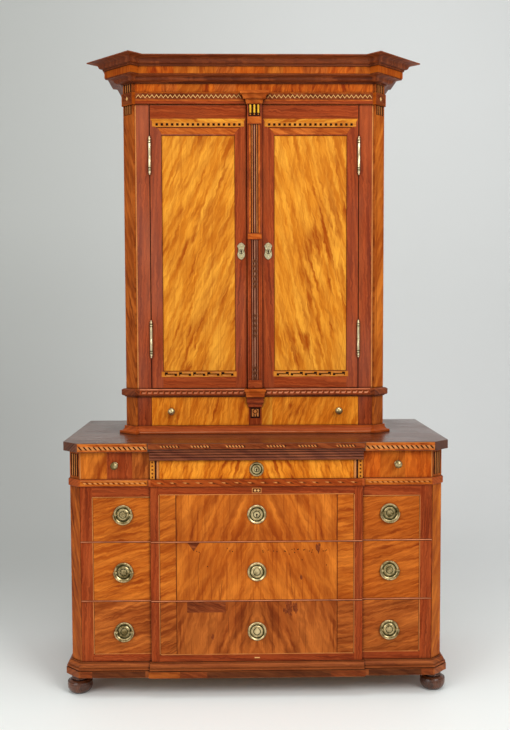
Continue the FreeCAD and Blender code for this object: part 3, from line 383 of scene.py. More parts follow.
@dataclass(frozen=True)
class Timber(Finish):
    """A polished wood."""

    light: Tint = (255, 255, 255)
    middle: Tint = (255, 255, 255)
    dark: Tint = (0, 0, 0)
    grain: Grain = Grain.VENEER
    flame: float = 0.5
    lean: float = 20.0
    length: float = 150.0
    width: float = 32.0
    pores: float = 0.35
    roughness: float = 0.32
    gloss: float = 0.06
    coat: float = 0.0
    bump: float = 0.12
    # Reach of the painted shade in creases, in millimetres.
    crease_shade_reach: float = 9.0
    # Share of a painted sheen: pale patches that stand in for reflections in the polish.
    painted_sheen: float = 0.0
    painted_sheen_tint: ClassVar[Tint] = (178, 130, 112)
    # Painted shade in creases: its dark tint, the occlusion values it eases between, and its samples.
    crease_shade_tint: ClassVar[Tint] = (46, 18, 8)
    crease_shade_edges: ClassVar[Flat] = (0.42, 0.94)
    crease_shade_samples: ClassVar[int] = 4
    blotches: ClassVar[float] = 6.0
    blotch_dark: ClassVar[float] = 0.16
    blotch_dull: ClassVar[float] = 0.08
    coat_roughness: ClassVar[float] = 0.12
    relief_depth: ClassVar[float] = 0.4
    end_facing: ClassVar[float] = 0.8

    def course(self, net: NodeNet) -> bpy.types.NodeSocket:
        """Read the place on the piece, with the grain along X.

        Args:
            net: The material's net.

        Returns:
            The vector's socket.
        """
        if self.grain is Grain.VENEER:
            return net.node("ShaderNodeUVMap", uv_map="Grain").outputs["UV"]
        x, y, z = net.split(net.object_place())
        if self.grain is Grain.UPRIGHT:
            return net.combine(z, net.math("ADD", net.math("ABSOLUTE", x), y), 0.0)
        aside = net.split(net.node("ShaderNodeNewGeometry").outputs["True Normal"])[0]
        sideways = net.math("GREATER_THAN", net.math("ABSOLUTE", aside), self.end_facing)
        feeds = {0: sideways, 4: net.combine(x, net.math("ADD", z, y), 0.0), 5: net.combine(y, z, x)}
        return net.node("ShaderNodeMix", feeds, data_type="VECTOR").outputs[1]

    def dress(self, net: NodeNet, surface: bpy.types.Node) -> None:
        """Join the timber figure, the polish, a painted sheen and painted shade in creases to the surface."""
        figure = self.placed(net, "timber", {
            "Grain": self.course(net), "Light": linear(self.light), "Middle": linear(self.middle),
            "Dark": linear(self.dark), "Flame": self.flame, "Lean": math.radians(self.lean),
            "Stretch": (1 / (self.length * MM), 1 / (self.width * MM), 1.0), "Pores": self.pores})
        age = self.placed(net, "patina", {"Place": net.object_place(), "Size": self.blotches})
        blotch = net.times(age["Cloud"], self.blotch_dark)
        colour = net.mix(blotch, figure["Colour"], linear(self.dark), "MULTIPLY")
        # Painted reflection: pale pinkish grey patches mixed into the colour.
        if self.painted_sheen:
            colour = net.mix(net.times(age["Painted sheen"], self.painted_sheen), colour, linear(self.painted_sheen_tint))
        # Painted shade: ambient occlusion darkens creases, corners and the gaps between parts.
        corner = net.node("ShaderNodeAmbientOcclusion", {"Distance": self.crease_shade_reach * MM},
                          samples=self.crease_shade_samples)
        colour = net.mix(net.ramp(corner.outputs["AO"], *self.crease_shade_edges), linear(self.crease_shade_tint), colour)
        rough = net.math("ADD", figure["Roughness"], net.times(age["Cloud"], self.blotch_dull))
        net.feed(surface, {"Base Color": colour, "Roughness": net.math("ADD", rough, self.roughness),
                           "Specular IOR Level": self.gloss, "Coat Weight": self.coat,
                           "Coat Roughness": self.coat_roughness})
        self.relief(net, surface, figure["Height"], self.bump, self.relief_depth)


@dataclass(frozen=True)
class Brass(Finish):
    """Old lacquered brass with dull and bright places."""

    bright: Tint = (222, 199, 149)
    dull: Tint = (110, 93, 54)
    roughness: float = 0.3
    outer: float = 0.0
    outer_edges: ClassVar[Flat] = (0.22, 0.4)
    blotches: ClassVar[float] = 55.0
    blotch_dull: ClassVar[float] = 0.75
    blotch_rough: ClassVar[float] = 0.22
    speck_dark: ClassVar[float] = 0.5
    speck_bump: ClassVar[float] = 0.1
    speck_depth: ClassVar[float] = 0.2

    def dress(self, net: NodeNet, surface: bpy.types.Node) -> None:
        """Join the patina to the metal, duller on the outer brasses."""
        place = net.object_place()
        age = self.placed(net, "patina", {"Place": place, "Size": self.blotches})
        share = net.times(age["Cloud"], self.blotch_dull)
        if self.outer:
            aside = net.ramp(net.math("ABSOLUTE", net.split(place)[0]), *self.outer_edges)
            share = net.math("ADD", share, net.times(aside, self.outer))
        colour = net.mix(share, linear(self.bright), linear(self.dull))
        colour = net.mix(net.times(age["Speck"], self.speck_dark), colour, linear(self.dull), "MULTIPLY")
        rough = net.math("ADD", net.times(age["Cloud"], self.blotch_rough), self.roughness)
        net.feed(surface, {"Base Color": colour, "Roughness": rough, "Metallic": 1.0})
        self.relief(net, surface, age["Speck"], self.speck_bump, self.speck_depth)


@dataclass(frozen=True)
class Backdrop(Finish):
    """Plain studio paper."""

    # Painted light and shade: brightest near the front, darker on the wall, most to the left.
    near: Tint = (246, 251, 248)
    left: Tint = (198, 200, 196)
    right: Tint = (230, 232, 231)
    depth: Flat = (-0.9, 1.4)
    width: Flat = (-2.2, 1.6)
    blotches: ClassVar[float] = 0.4
    blotch_dark: ClassVar[float] = 0.05
    roughness: ClassVar[float] = 0.85

    def dress(self, net: NodeNet, surface: bpy.types.Node) -> None:
        """Paint shade into the paper, darker to the back and to the left, and let it be seen through from
        behind.
        """
        place = net.object_place()
        x, y, _ = net.split(place)
        far = net.mix(net.ramp(x, *self.width), linear(self.left), linear(self.right))
        colour = net.mix(net.ramp(y, *self.depth), linear(self.near), far)
        age = self.placed(net, "patina", {"Place": place, "Size": self.blotches})
        colour = net.mix(net.times(age["Cloud"], self.blotch_dark), colour, linear(self.left))
        net.feed(surface, {"Base Color": colour, "Roughness": self.roughness})
        behind = net.node("ShaderNodeNewGeometry").outputs["Backfacing"]
        clear = net.node("ShaderNodeBsdfTransparent").outputs[0]
        sides = net.node("ShaderNodeMixShader", {0: behind, 1: surface.outputs[0], 2: clear})
        net.feed(net.tree.nodes["Material Output"], {"Surface": sides.outputs[0]})


GOLD = ((240, 166, 54), (214, 130, 30), (156, 68, 6))
HONEY = ((250, 160, 46), (220, 122, 22), (156, 62, 4))
AMBER = ((222, 126, 40), (184, 90, 20), (124, 42, 6))
TAWNY = ((206, 113, 44), (154, 71, 22), (95, 33, 6))
RUSSET = ((228, 118, 32), (188, 82, 14), (126, 38, 4))
ORANGE = ((214, 116, 44), (182, 84, 24), (120, 42, 8))
RED = ((176, 80, 34), (152, 58, 18), (86, 26, 6))
BROWN = ((160, 80, 38), (124, 52, 20), (60, 22, 8))
UMBER = ((114, 60, 30), (94, 46, 22), (58, 24, 10))
FLAMED = {"flame": 0.6, "length": 150, "width": 36, "pores": 0.5}
RIPPLED = {"flame": 0.6, "lean": 10, "length": 150, "width": 18, "pores": 0.3}
MOULDED = {"grain": Grain.LEVEL, "flame": 0.6, "lean": 3, "length": 260, "width": 12, "gloss": 0.12}
INSIDE = {"lean": 2, "length": 600, "width": 20, "roughness": 0.5}


class Wood(Enum):
    """The woods, each with its light, middle and dark tint and its figure."""

    DOOR = Timber("golden_flame", *GOLD, flame=0.95, lean=22, width=23, pores=0.25)
    DRAWER = Timber("honey_flame", *HONEY, flame=0.95, lean=16, length=100, width=16, pores=0.25)
    # Also laid as painted light on the right posts.
    FIELD = Timber("amber_flame", *AMBER, lean=21, **FLAMED)
    LOW_FIELD = Timber("tawny_flame", *TAWNY, lean=18, **FLAMED)
    CROSS = Timber("amber_ripple", *AMBER, **RIPPLED)
    DEEP_CROSS = Timber("deep_ripple", (212, 114, 36), (174, 82, 18), (118, 40, 6), **RIPPLED)
    LOW_CROSS = Timber("tawny_ripple", *TAWNY, **RIPPLED)
    LEAF = Timber("russet_leaf", *RUSSET, flame=0.9, lean=8, length=90, width=22, pores=0.3)
    BORDER = Timber("red_border", *RED, lean=3, length=260, width=10, pores=0.4, gloss=0.08)
    # Pale lines, and the painted highlights on flute lands, stiles, drawer edges, the top's edge and the
    # pilaster's upper reeds.
    PALE = Timber("pale_line", (216, 144, 80), (202, 126, 64), (166, 90, 36), flame=0.2)
    CREAM = Timber("cream_line", (246, 200, 134), (236, 184, 114), (200, 142, 76), flame=0.2)
    GOLDEN = Timber("golden_inlay", (226, 150, 54), (208, 126, 38), (160, 82, 16), flame=0.3)
    YELLOW = Timber("yellow_reed", (250, 204, 70), (240, 186, 50), (196, 130, 22), flame=0.3)
    # Painted highlights on the centre pilaster's reeds and crown.
    GREY_HIGHLIGHT = Timber("grey_highlight_line", (186, 132, 104), (164, 108, 82), (112, 64, 44), flame=0.3)
    # Worn lines and pale keys, and painted highlights on the upper base and the ledge's slope.
    WEAR_AND_HIGHLIGHT = Timber("wear_and_highlight_line", (226, 146, 104), (206, 124, 84), (160, 84, 50), flame=0.3, crease_shade_reach=2)
    # Black lines, and the painted shade in flutes, grooves, keyholes, the pilaster's neck and under the
    # frieze band.
    BLACK = Timber("black_line", (44, 18, 10), (34, 13, 7), (14, 6, 4), flame=0.3)
    TANNED = Timber("tanned_inlay", (118, 54, 18), (98, 42, 12), (60, 22, 6), flame=0.3)
    STRIP = Timber("orange_strip", *ORANGE, flame=0.6, length=90, width=14)
    PATCH_RED = Timber("red_patch", (186, 86, 30), (152, 60, 16), (96, 32, 6), flame=0.6, length=120, width=9)
    PATCH = Timber("brown_patch", *BROWN, length=120, width=8)
    DUSK = Timber("umber_leaf", *UMBER, flame=0.6, length=120, width=12)
    # The upright red carries a painted sheen.
    UPRIGHT_RED = Timber("red_upright", *RED, Grain.UPRIGHT, 0.55, 3, 300, 14, gloss=0.12, painted_sheen=0.14)
    LEVEL_RED = Timber("red_level", *RED, Grain.LEVEL, 0.5, 3, 300, 14, gloss=0.14)
    LEVEL_BROWN = Timber("brown_level", *BROWN, Grain.LEVEL, 0.5, 3, 300, 12, gloss=0.16)
    BASE = Timber("orange_level", (190, 92, 34), (170, 74, 22), (118, 44, 10), **MOULDED)
    PLINTH = Timber("tawny_level", (174, 94, 42), (150, 74, 30), (98, 42, 14), **MOULDED)
    TOP = Timber("dark_top", (116, 62, 34), (96, 48, 24), (54, 24, 10), Grain.LEVEL, 0.5, 2, 500, 30,
                 roughness=0.2, gloss=0.42, coat=0.12)
    REED = Timber("dark_reeds", (144, 76, 42), (120, 56, 30), (66, 24, 10), Grain.LEVEL, 0.4, gloss=0.2)
    FOOT = Timber("dark_foot", (116, 66, 40), (92, 50, 28), (40, 18, 8), Grain.UPRIGHT, roughness=0.14,
                  gloss=0.6)
    POST = Timber("amber_post", (204, 108, 38), (164, 76, 22), (100, 36, 6), Grain.UPRIGHT, 0.9, -24, 150, 26)
    BAND = Timber("amber_band", (206, 110, 26), (178, 80, 14), (134, 48, 6), Grain.UPRIGHT, 0.8, 8, 90, 22)
    CAP = Timber("orange_cap", *ORANGE, Grain.LEVEL)
    PLANK = Timber("oak_plank", (190, 148, 96), (164, 120, 74), (110, 74, 42), flame=0.35, **INSIDE)
    OAK = Timber("oak_inside", (196, 152, 96), (172, 126, 76), (120, 80, 44), Grain.LEVEL, flame=0.3,
                 **INSIDE)


BRASS = Brass("old_brass", outer=0.3)
# Painted highlight: a brighter copy of the brass for the door brasses and hinges.
HIGHLIT_BRASS = Brass("highlit_brass", bright=(238, 224, 182), dull=(166, 150, 104))
DARK_BRASS = Brass("dark_brass", bright=(84, 78, 46), dull=(38, 36, 18), roughness=0.42)
PAPER = Backdrop("studio_paper")


@dataclass(frozen=True)
class Plane:
    """A flat face: an origin in millimetres and two unit directions that lie in it."""

    origin: Vector
    across: Vector
    up: Vector = field(default_factory=lambda: Vector((0, 0, 1)))

    @classmethod
    def front(cls, y: float) -> "Plane":
        """A face that looks to the front; its flat coordinates are X and Z."""
        return cls(Vector((0, y, 0)), Vector((1, 0, 0)))

    @classmethod
    def level(cls, z: float) -> "Plane":
        """A face that looks up; its flat coordinates are X and Y."""
        return cls(Vector((0, 0, z)), Vector((1, 0, 0)), Vector((0, 1, 0)))

    @classmethod
    def cant(cls, sign: int, x: float, y: float) -> "Plane":
        """A canted corner face through a plan point, on the right for +1 and the left for -1."""
        return cls(Vector((x, y, 0)), Vector((1, sign, 0)).normalized())

    def spot(self, x: float, y: float, out: float = 0.0) -> Vector:
        """Give the point at flat coordinates, moved out of the face."""
        return self.origin + self.across * x + self.up * y + self.across.cross(self.up) * out


def oblong(ends: Sequence[float], heights: Sequence[float]) -> list[Flat]:
    """Outline of a rectangle between its ends and its heights."""
    (left, right), (low, high) = ends, heights
    return [(left, low), (right, low), (right, high), (left, high)]


def moved(outline: Sequence[Flat], x: float, y: float) -> list[Flat]:
    """Outline moved to a place."""
    return [(x + across, y + up) for across, up in outline]


def slanted(width: float, height: float, slant: float) -> list[Flat]:
    """Outline of a leaning lozenge about its middle."""
    across, up = width / 2, height / 2
    return [(-across - slant, -up), (across - slant, -up), (across + slant, up), (-across + slant, up)]


def rounded(radius: float, sides: int) -> list[Flat]:
    """Outline of a disc about its middle."""
    turns = [2 * math.pi * step / sides for step in range(sides)]
    return [(radius * math.cos(turn), radius * math.sin(turn)) for turn in turns]


def diamond(width: float, height: float) -> list[Flat]:
    """Outline of a diamond about its middle."""
    return [(0, -height / 2), (width / 2, 0), (0, height / 2), (-width / 2, 0)]


def chevron(pitch: float, height: float, thick: float) -> list[Flat]:
    """Outline of one wave of a zigzag about its middle."""
    across, up, half = pitch / 2, (height - thick) / 2, thick / 2
    return [(-across, -up - half), (0, up - half), (across, -up - half),
            (across, -up + half), (0, up + half), (-across, -up + half)]


def step_key(width: float, height: float, thick: float) -> list[Flat]:
    """Outline of one key of a running meander about its middle: a head, a level bar and a foot.

    Args:
        width: Width of the key.
        height: Height of the key.
        thick: Thickness of its bar.

    Returns:
        Anticlockwise corners.
    """
    low, head, foot, heel = (height - thick) / 2, width * 0.24, width * 0.8, height * 0.1
    corners = [(0, heel), (thick, heel), (thick, low), (foot, low), (foot, 0), (width, 0),
               (width, low + thick), (head, low + thick), (head, height), (0, height)]
    return moved(corners, -width / 2, -height / 2)


def log_place(chance: random.Random) -> Flat:
    """Pick where in the log a leaf is cut, in metres."""
    return chance.uniform(0, LOG_REACH), chance.uniform(0, LOG_REACH)


class MeshDraft:
    """Gathers the faces of one piece, in millimetres, with a finish and a grain place for each."""

    SUNK = 0.3
    SHOULDER = (0.72, 0.7)

    def __init__(self, name: str) -> None:
        """Start an empty piece."""
        self.name = name
        self.points: list[Vector] = []
        self.faces: list[tuple[int, ...]] = []
        self.finishes: list[Finish] = []
        self.grain: list[list[Flat]] = []
        self.chance = random.Random(name)

    def shell(self, points: Sequence[Vector], faces: Sequence[tuple[int, ...]], finish: Finish,
              grain: Sequence[Flat]) -> None:
        """Add a closed set of faces.

        Args:
            points: Corners of the shell.
            faces: Corner numbers of each face, outside to the left.
            finish: Finish of all its faces.
            grain: Grain place of each corner, in metres.
        """
        first = len(self.points)
        self.points += points
        for face in faces:
            self.faces.append(tuple(first + corner for corner in face))
            self.finishes.append(finish)
            self.grain.append([grain[corner] for corner in face])

    def course(self, outline: Sequence[Flat], lean: float = STANDING, mirrored: bool = False,
               shift: Optional[Flat] = None) -> list[Flat]:
        """Work out the grain place of flat points.

        Args:
            outline: Flat points in millimetres.
            lean: Angle of the grain from level, in degrees.
            mirrored: Whether the grain is flipped left to right.
            shift: Where in the log the piece is cut, or None for a place by chance.

        Returns:
            A place for each point, in metres, along and across the grain.
        """
        angle = math.radians(lean)
        along, across = shift or log_place(self.chance)
        places = []
        for x, y in outline:
            flipped = -x if mirrored else x
            places.append(((flipped * math.cos(angle) + y * math.sin(angle)) * MM + along,
                           (y * math.cos(angle) - flipped * math.sin(angle)) * MM + across))
        return places

    def plate(self, plane: Plane, outline: Sequence[Flat], wood: Wood, lean: float = LYING,
              rise: float = Rise.LAID, mirrored: bool = False, shift: Optional[Flat] = None) -> None:
        """Lay a thin plate of veneer on a face.

        Args:
            plane: The face.
            outline: Flat corners, anticlockwise as seen from outside.
            wood: The veneer's wood.
            lean: Angle of the grain from level, in degrees.
            rise: How far the plate stands out of the face.
            mirrored: Whether its grain is flipped left to right.
            shift: Where in the log it is cut.
        """
        count = len(outline)
        points = [plane.spot(x, y, out) for out in (rise, -self.SUNK) for x, y in outline]
        faces = [tuple(range(count)), tuple(reversed(range(count, 2 * count)))]
        for corner in range(count):
            after = (corner + 1) % count
            faces.append((corner, corner + count, after + count, after))
        self.shell(points, faces, wood.value, self.course(outline, lean, mirrored, shift) * 2)

    def strip(self, plane: Plane, ends: Sequence[float], heights: Sequence[float], wood: Wood,
              lean: float = LYING, rise: float = Rise.VENEER) -> None:
        """Lay a rectangle of veneer between flat lines of a face."""
        self.plate(plane, oblong(ends, heights), wood, lean, rise)

    def book(self, plane: Plane, reach: float, heights: Flat, wood: Wood) -> None:
        """Lay two matched leaves of upright veneer that open like a book about the middle of a face.

        Args:
            plane: The face.
            reach: Half of the width.
            heights: Lower and upper line.
            wood: The veneer's wood.
        """
        shift = log_place(self.chance)
        for mirrored, ends in ((False, (-reach, 0)), (True, (0, reach))):
            self.plate(plane, oblong(ends, heights), wood, STANDING, Rise.VENEER, mirrored, shift)

    def frame_lines(self, plane: Plane, ends: Sequence[float], heights: Flat, wood: Wood,
                    thick: float) -> None:
        """Lay four lines of stringing round a rectangle, inside it."""
        (left, right), (low, high) = ends, heights
        for level in ((low, low + thick), (high - thick, high)):
            self.strip(plane, ends, level, wood, LYING, Rise.INLAY)
        for upright in ((left, left + thick), (right - thick, right)):
            self.strip(plane, upright, heights, wood, STANDING, Rise.INLAY)

    def reed(self, plane: Plane, x: float, heights: Flat, radius: float, finish: Finish,
             sides: int = 6) -> None:
        """Raise a half-round reed on a face, with its ends closed.

        Args:
            plane: The face.
            x: Flat place of its middle line.
            heights: Lower and upper end.
            radius: Radius of the half round.
            finish: Its finish.
            sides: Facets of the half round.
        """
        turns = [math.pi * step / sides for step in range(sides + 1)]
        ring = [(x + radius * math.cos(turn), radius * math.sin(turn)) for turn in turns]
        points = [plane.spot(across, level, out - self.SUNK) for level in heights for across, out in ring]
        flats = [(across, level) for level in heights for across, _ in ring]
        count = len(ring)
        faces = [tuple(reversed(range(count))), tuple(range(count, 2 * count))]
        faces += [(step, step + 1, step + 1 + count, step + count) for step in range(sides)]
        faces.append((count - 1, 0, count, 2 * count - 1))
        self.shell(points, faces, finish, self.course(flats))

    def button(self, plane: Plane, centre: Flat, radius: float, height: float, finish: Finish,
               sides: int = 10, tall: float = 1.0) -> None:
        """Raise a low dome on a face.

        Args:
            plane: The face.
            centre: Flat place of its middle.
            radius: Radius at its foot.
            height: How far it stands out.
            finish: Its finish.
            sides: Points round it.
            tall: How much taller than wide it is.
        """
        points, flats = [], []
        share, rise = self.SHOULDER
        for reach, out in ((radius, -self.SUNK), (radius, 0.0), (radius * share, height * rise)):
            ring = moved([(across, up * tall) for across, up in rounded(reach, sides)], *centre)
            flats += ring
            points += [plane.spot(*flat, out) for flat in ring]
        flats.append(centre)
        points.append(plane.spot(*centre, height))
        faces = [tuple(reversed(range(sides)))]
        for foot in (0, sides):
            for step in range(sides):
                after = (step + 1) % sides
                faces.append((foot + step, foot + after, foot + sides + after, foot + sides + step))
        faces += [(2 * sides + step, 2 * sides + (step + 1) % sides, 3 * sides) for step in range(sides)]
        self.shell(points, faces, finish, self.course(flats))

    def ring(self, plane: Plane, centre: Flat, radius: float, width: float, height: float, finish: Finish,
             sides: int = 36) -> None:
        """Raise a round-topped ring on a face.

        Args:
            plane: The face.
            centre: Flat place of its middle.
            radius: Radius of its middle line.
            width: Width of its band.
            height: How far it stands out.
            finish: Its finish.
            sides: Points round it.
        """
        half, shoulder = width / 2, height / 2
        section = [(-half, -self.SUNK), (-half, shoulder), (-half / 2, height), (half / 2, height),
                   (half, shoulder), (half, -self.SUNK)]
        points, flats, faces = [], [], []
        count = len(section)
        for step in range(sides):
            turn = 2 * math.pi * step / sides
            for wide, out in section:
                reach = radius + wide
                flats.append((centre[0] + reach * math.cos(turn), centre[1] + reach * math.sin(turn)))
                points.append(plane.spot(*flats[-1], out))
            here, there = step * count, (step + 1) % sides * count
            for corner in range(count):
                after = (corner + 1) % count
                faces.append((here + corner, here + after, there + after, there + corner))
        self.shell(points, faces, finish, self.course(flats))

    def absorb(self, mesh: bpy.types.Mesh, finish: Finish, shift: Vector = Vector()) -> None:
        """Add a finished mesh, in millimetres, moved by a vector.

        Args:
            mesh: The mesh; it is removed.
            finish: Finish of its faces.
            shift: How far to move it.
        """
        places = mesh.uv_layers["Grain"].data
        first = len(self.points)
        self.points += [point.co + shift for point in mesh.vertices]
        for face in mesh.polygons:
            self.faces.append(tuple(first + corner for corner in face.vertices))
            self.finishes.append(finish)
            self.grain.append([tuple(places[loop].uv) for loop in face.loop_indices])
        bpy.data.meshes.remove(mesh)

    def mesh(self, scale: float = MM) -> bpy.types.Mesh:
        """Make Blender's mesh of what was gathered.

        Args:
            scale: Blender units per millimetre.

        Returns:
            The mesh, with its grain map and materials.
        """
        made = bpy.data.meshes.new(self.name)
        made.from_pydata([point * scale for point in self.points], [], self.faces)
        finishes = list(dict.fromkeys(self.finishes))
        for finish in finishes:
            made.materials.append(finish.material)
        order = {finish.name: index for index, finish in enumerate(finishes)}
        places = made.uv_layers.new(name="Grain").data
        for face, finish, grain in zip(made.polygons, self.finishes, self.grain):
            face.material_index = order[finish.name]
            for loop, place in zip(face.loop_indices, grain):
                places[loop].uv = place
        made.update()
        return made

    def piece(self, body: str, slot: str) -> None:
        """Finish the piece and let it ride on a body.

        Args:
            body: Name of the CAD body.
            slot: Name of the record's material slot; not used.
        """
        made = bpy.data.objects.new(self.name, self.mesh())
        bpy.context.scene.collection.objects.link(made)
        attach(made, body)
        LOG.info("%s: %d faces on %s", self.name, len(self.faces), body)


class Repeat(Enum):
    """How Geometry Nodes repeat a unit."""

    ROW = "row of units"
    RING = "ring of units"


class Repeater:
    """Geometry Nodes trees that repeat a unit in a row, or in a ring about a line to the front."""

    def __init__(self) -> None:
        """Build both trees."""
        self.trees = {way: self.tree(way) for way in Repeat}

    def tree(self, way: Repeat) -> bpy.types.NodeTree:
        """Build one tree.

        Args:
            way: Whether it makes rows or rings.

        Returns:
            The tree.
        """
        tree = bpy.data.node_groups.new(way.value, "GeometryNodeTree")
        for name, kind in (("Unit", "Geometry"), ("Count", "Int"), ("Step", "Vector"),
                           ("Material", "Material")):
            tree.interface.new_socket(name=name, in_out="INPUT", socket_type=f"NodeSocket{kind}")
        tree.interface.new_socket(name="Pieces", in_out="OUTPUT", socket_type="NodeSocketGeometry")
        net = NodeNet(tree)
        given = net.node("NodeGroupInput").outputs
        line = net.node("GeometryNodeMeshLine", {"Count": given["Count"]}, mode="OFFSET")
        copies = net.node("GeometryNodeInstanceOnPoints",
                          {"Points": line.outputs[0], "Instance": given["Unit"]})
        if way is Repeat.ROW:
            net.feed(line, {"Offset": given["Step"]})
        else:
            number = net.node("GeometryNodeInputIndex").outputs[0]
            turn = net.vector_math("MULTIPLY", net.combine(number, number, number), given["Step"])
            net.feed(line, {"Offset": (0, 0, 0)})
            net.feed(copies, {"Rotation": turn})
        whole = net.node("GeometryNodeRealizeInstances", {0: copies.outputs[0]})
        painted = net.node("GeometryNodeSetMaterial",
                           {"Geometry": whole.outputs[0], "Material": given["Material"]})
        net.node("NodeGroupOutput", {0: painted.outputs[0]})
        return tree

    def repeat(self, way: Repeat, unit: MeshDraft, count: int, step: Sequence[float]) -> bpy.types.Mesh:
        """Repeat a unit of one finish.

        Args:
            way: In a row or in a ring.
            unit: The unit, in millimetres.
            count: How many there are.
            step: Move in millimetres, or turn in radians, from each to the next.

        Returns:
            One plain mesh in millimetres.
        """
        carrier = bpy.data.objects.new(unit.name, unit.mesh(1.0))
        bpy.context.scene.collection.objects.link(carrier)
        modifier = carrier.modifiers.new(way.value, "NODES")
        modifier.node_group = self.trees[way]
        settings = {"Count": count, "Step": tuple(step), "Material": unit.finishes[0].material}
        for socket in self.trees[way].interface.items_tree:
            if socket.name in settings:
                modifier[socket.identifier] = settings[socket.name]
        carrier.update_tag()
        graph = bpy.context.evaluated_depsgraph_get()
        made = bpy.data.meshes.new_from_object(carrier.evaluated_get(graph), depsgraph=graph)
        plain = carrier.data
        bpy.data.objects.remove(carrier)
        bpy.data.meshes.remove(plain)
        return made

    def row(self, draft: MeshDraft, unit: MeshDraft, count: int, step: Sequence[float]) -> None:
        """Add a row of a unit to a piece."""
        draft.absorb(self.repeat(Repeat.ROW, unit, count, step), unit.finishes[0])

    def ring(self, draft: MeshDraft, unit: MeshDraft, count: int, centre: Vector) -> None:
        """Add a ring of a unit to a piece, about a line to the front through a centre."""
        step = (0.0, 2 * math.pi / count, 0.0)
        draft.absorb(self.repeat(Repeat.RING, unit, count, step), unit.finishes[0], centre)


def struck(node: str, start: Vector, way: Vector) -> Vector:
    """Find where a line first meets a CAD node.

    Args:
        node: Name of the node.
        start: Where the line starts, in millimetres.
        way: Where it goes.

    Returns:
        The point, in millimetres.
    """
    hit, spot, _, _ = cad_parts[node].ray_cast(start * MM, way)
    if not hit:
        raise ValueError(f"{node} isn't met from {tuple(start)}")
    return spot / MM


def face_at(node: str, x: float, z: float) -> Plane:
    """Find the face of a CAD node that looks to the front at a place."""
    return Plane.front(struck(node, Vector((x, -RAY_START, z)), Vector((0, 1, 0))).y)


def cant_at(node: str, sign: int, middle: Flat, z: float, aside: float = 0.0) -> Plane:
    """Find the canted face of a CAD node near a plan point; flat X is 0 where it is found.

    Args:
        node: Name of the node.
        sign: +1 for the right corner, -1 for the left.
        middle: Plan place of the corner's middle, as on the right side.
        z: Height at which to look.
        aside: How far along the face from the corner's middle to look.

    Returns:
        The canted plane.
    """
    inward = Vector((-sign, 1, 0)).normalized()
    along = Vector((1, sign, 0)).normalized()
    start = Vector((sign * middle[0], middle[1], z)) - inward * CORNER_RAY + along * aside
    spot = struck(node, start, inward)
    return Plane.cant(sign, spot.x, spot.y)


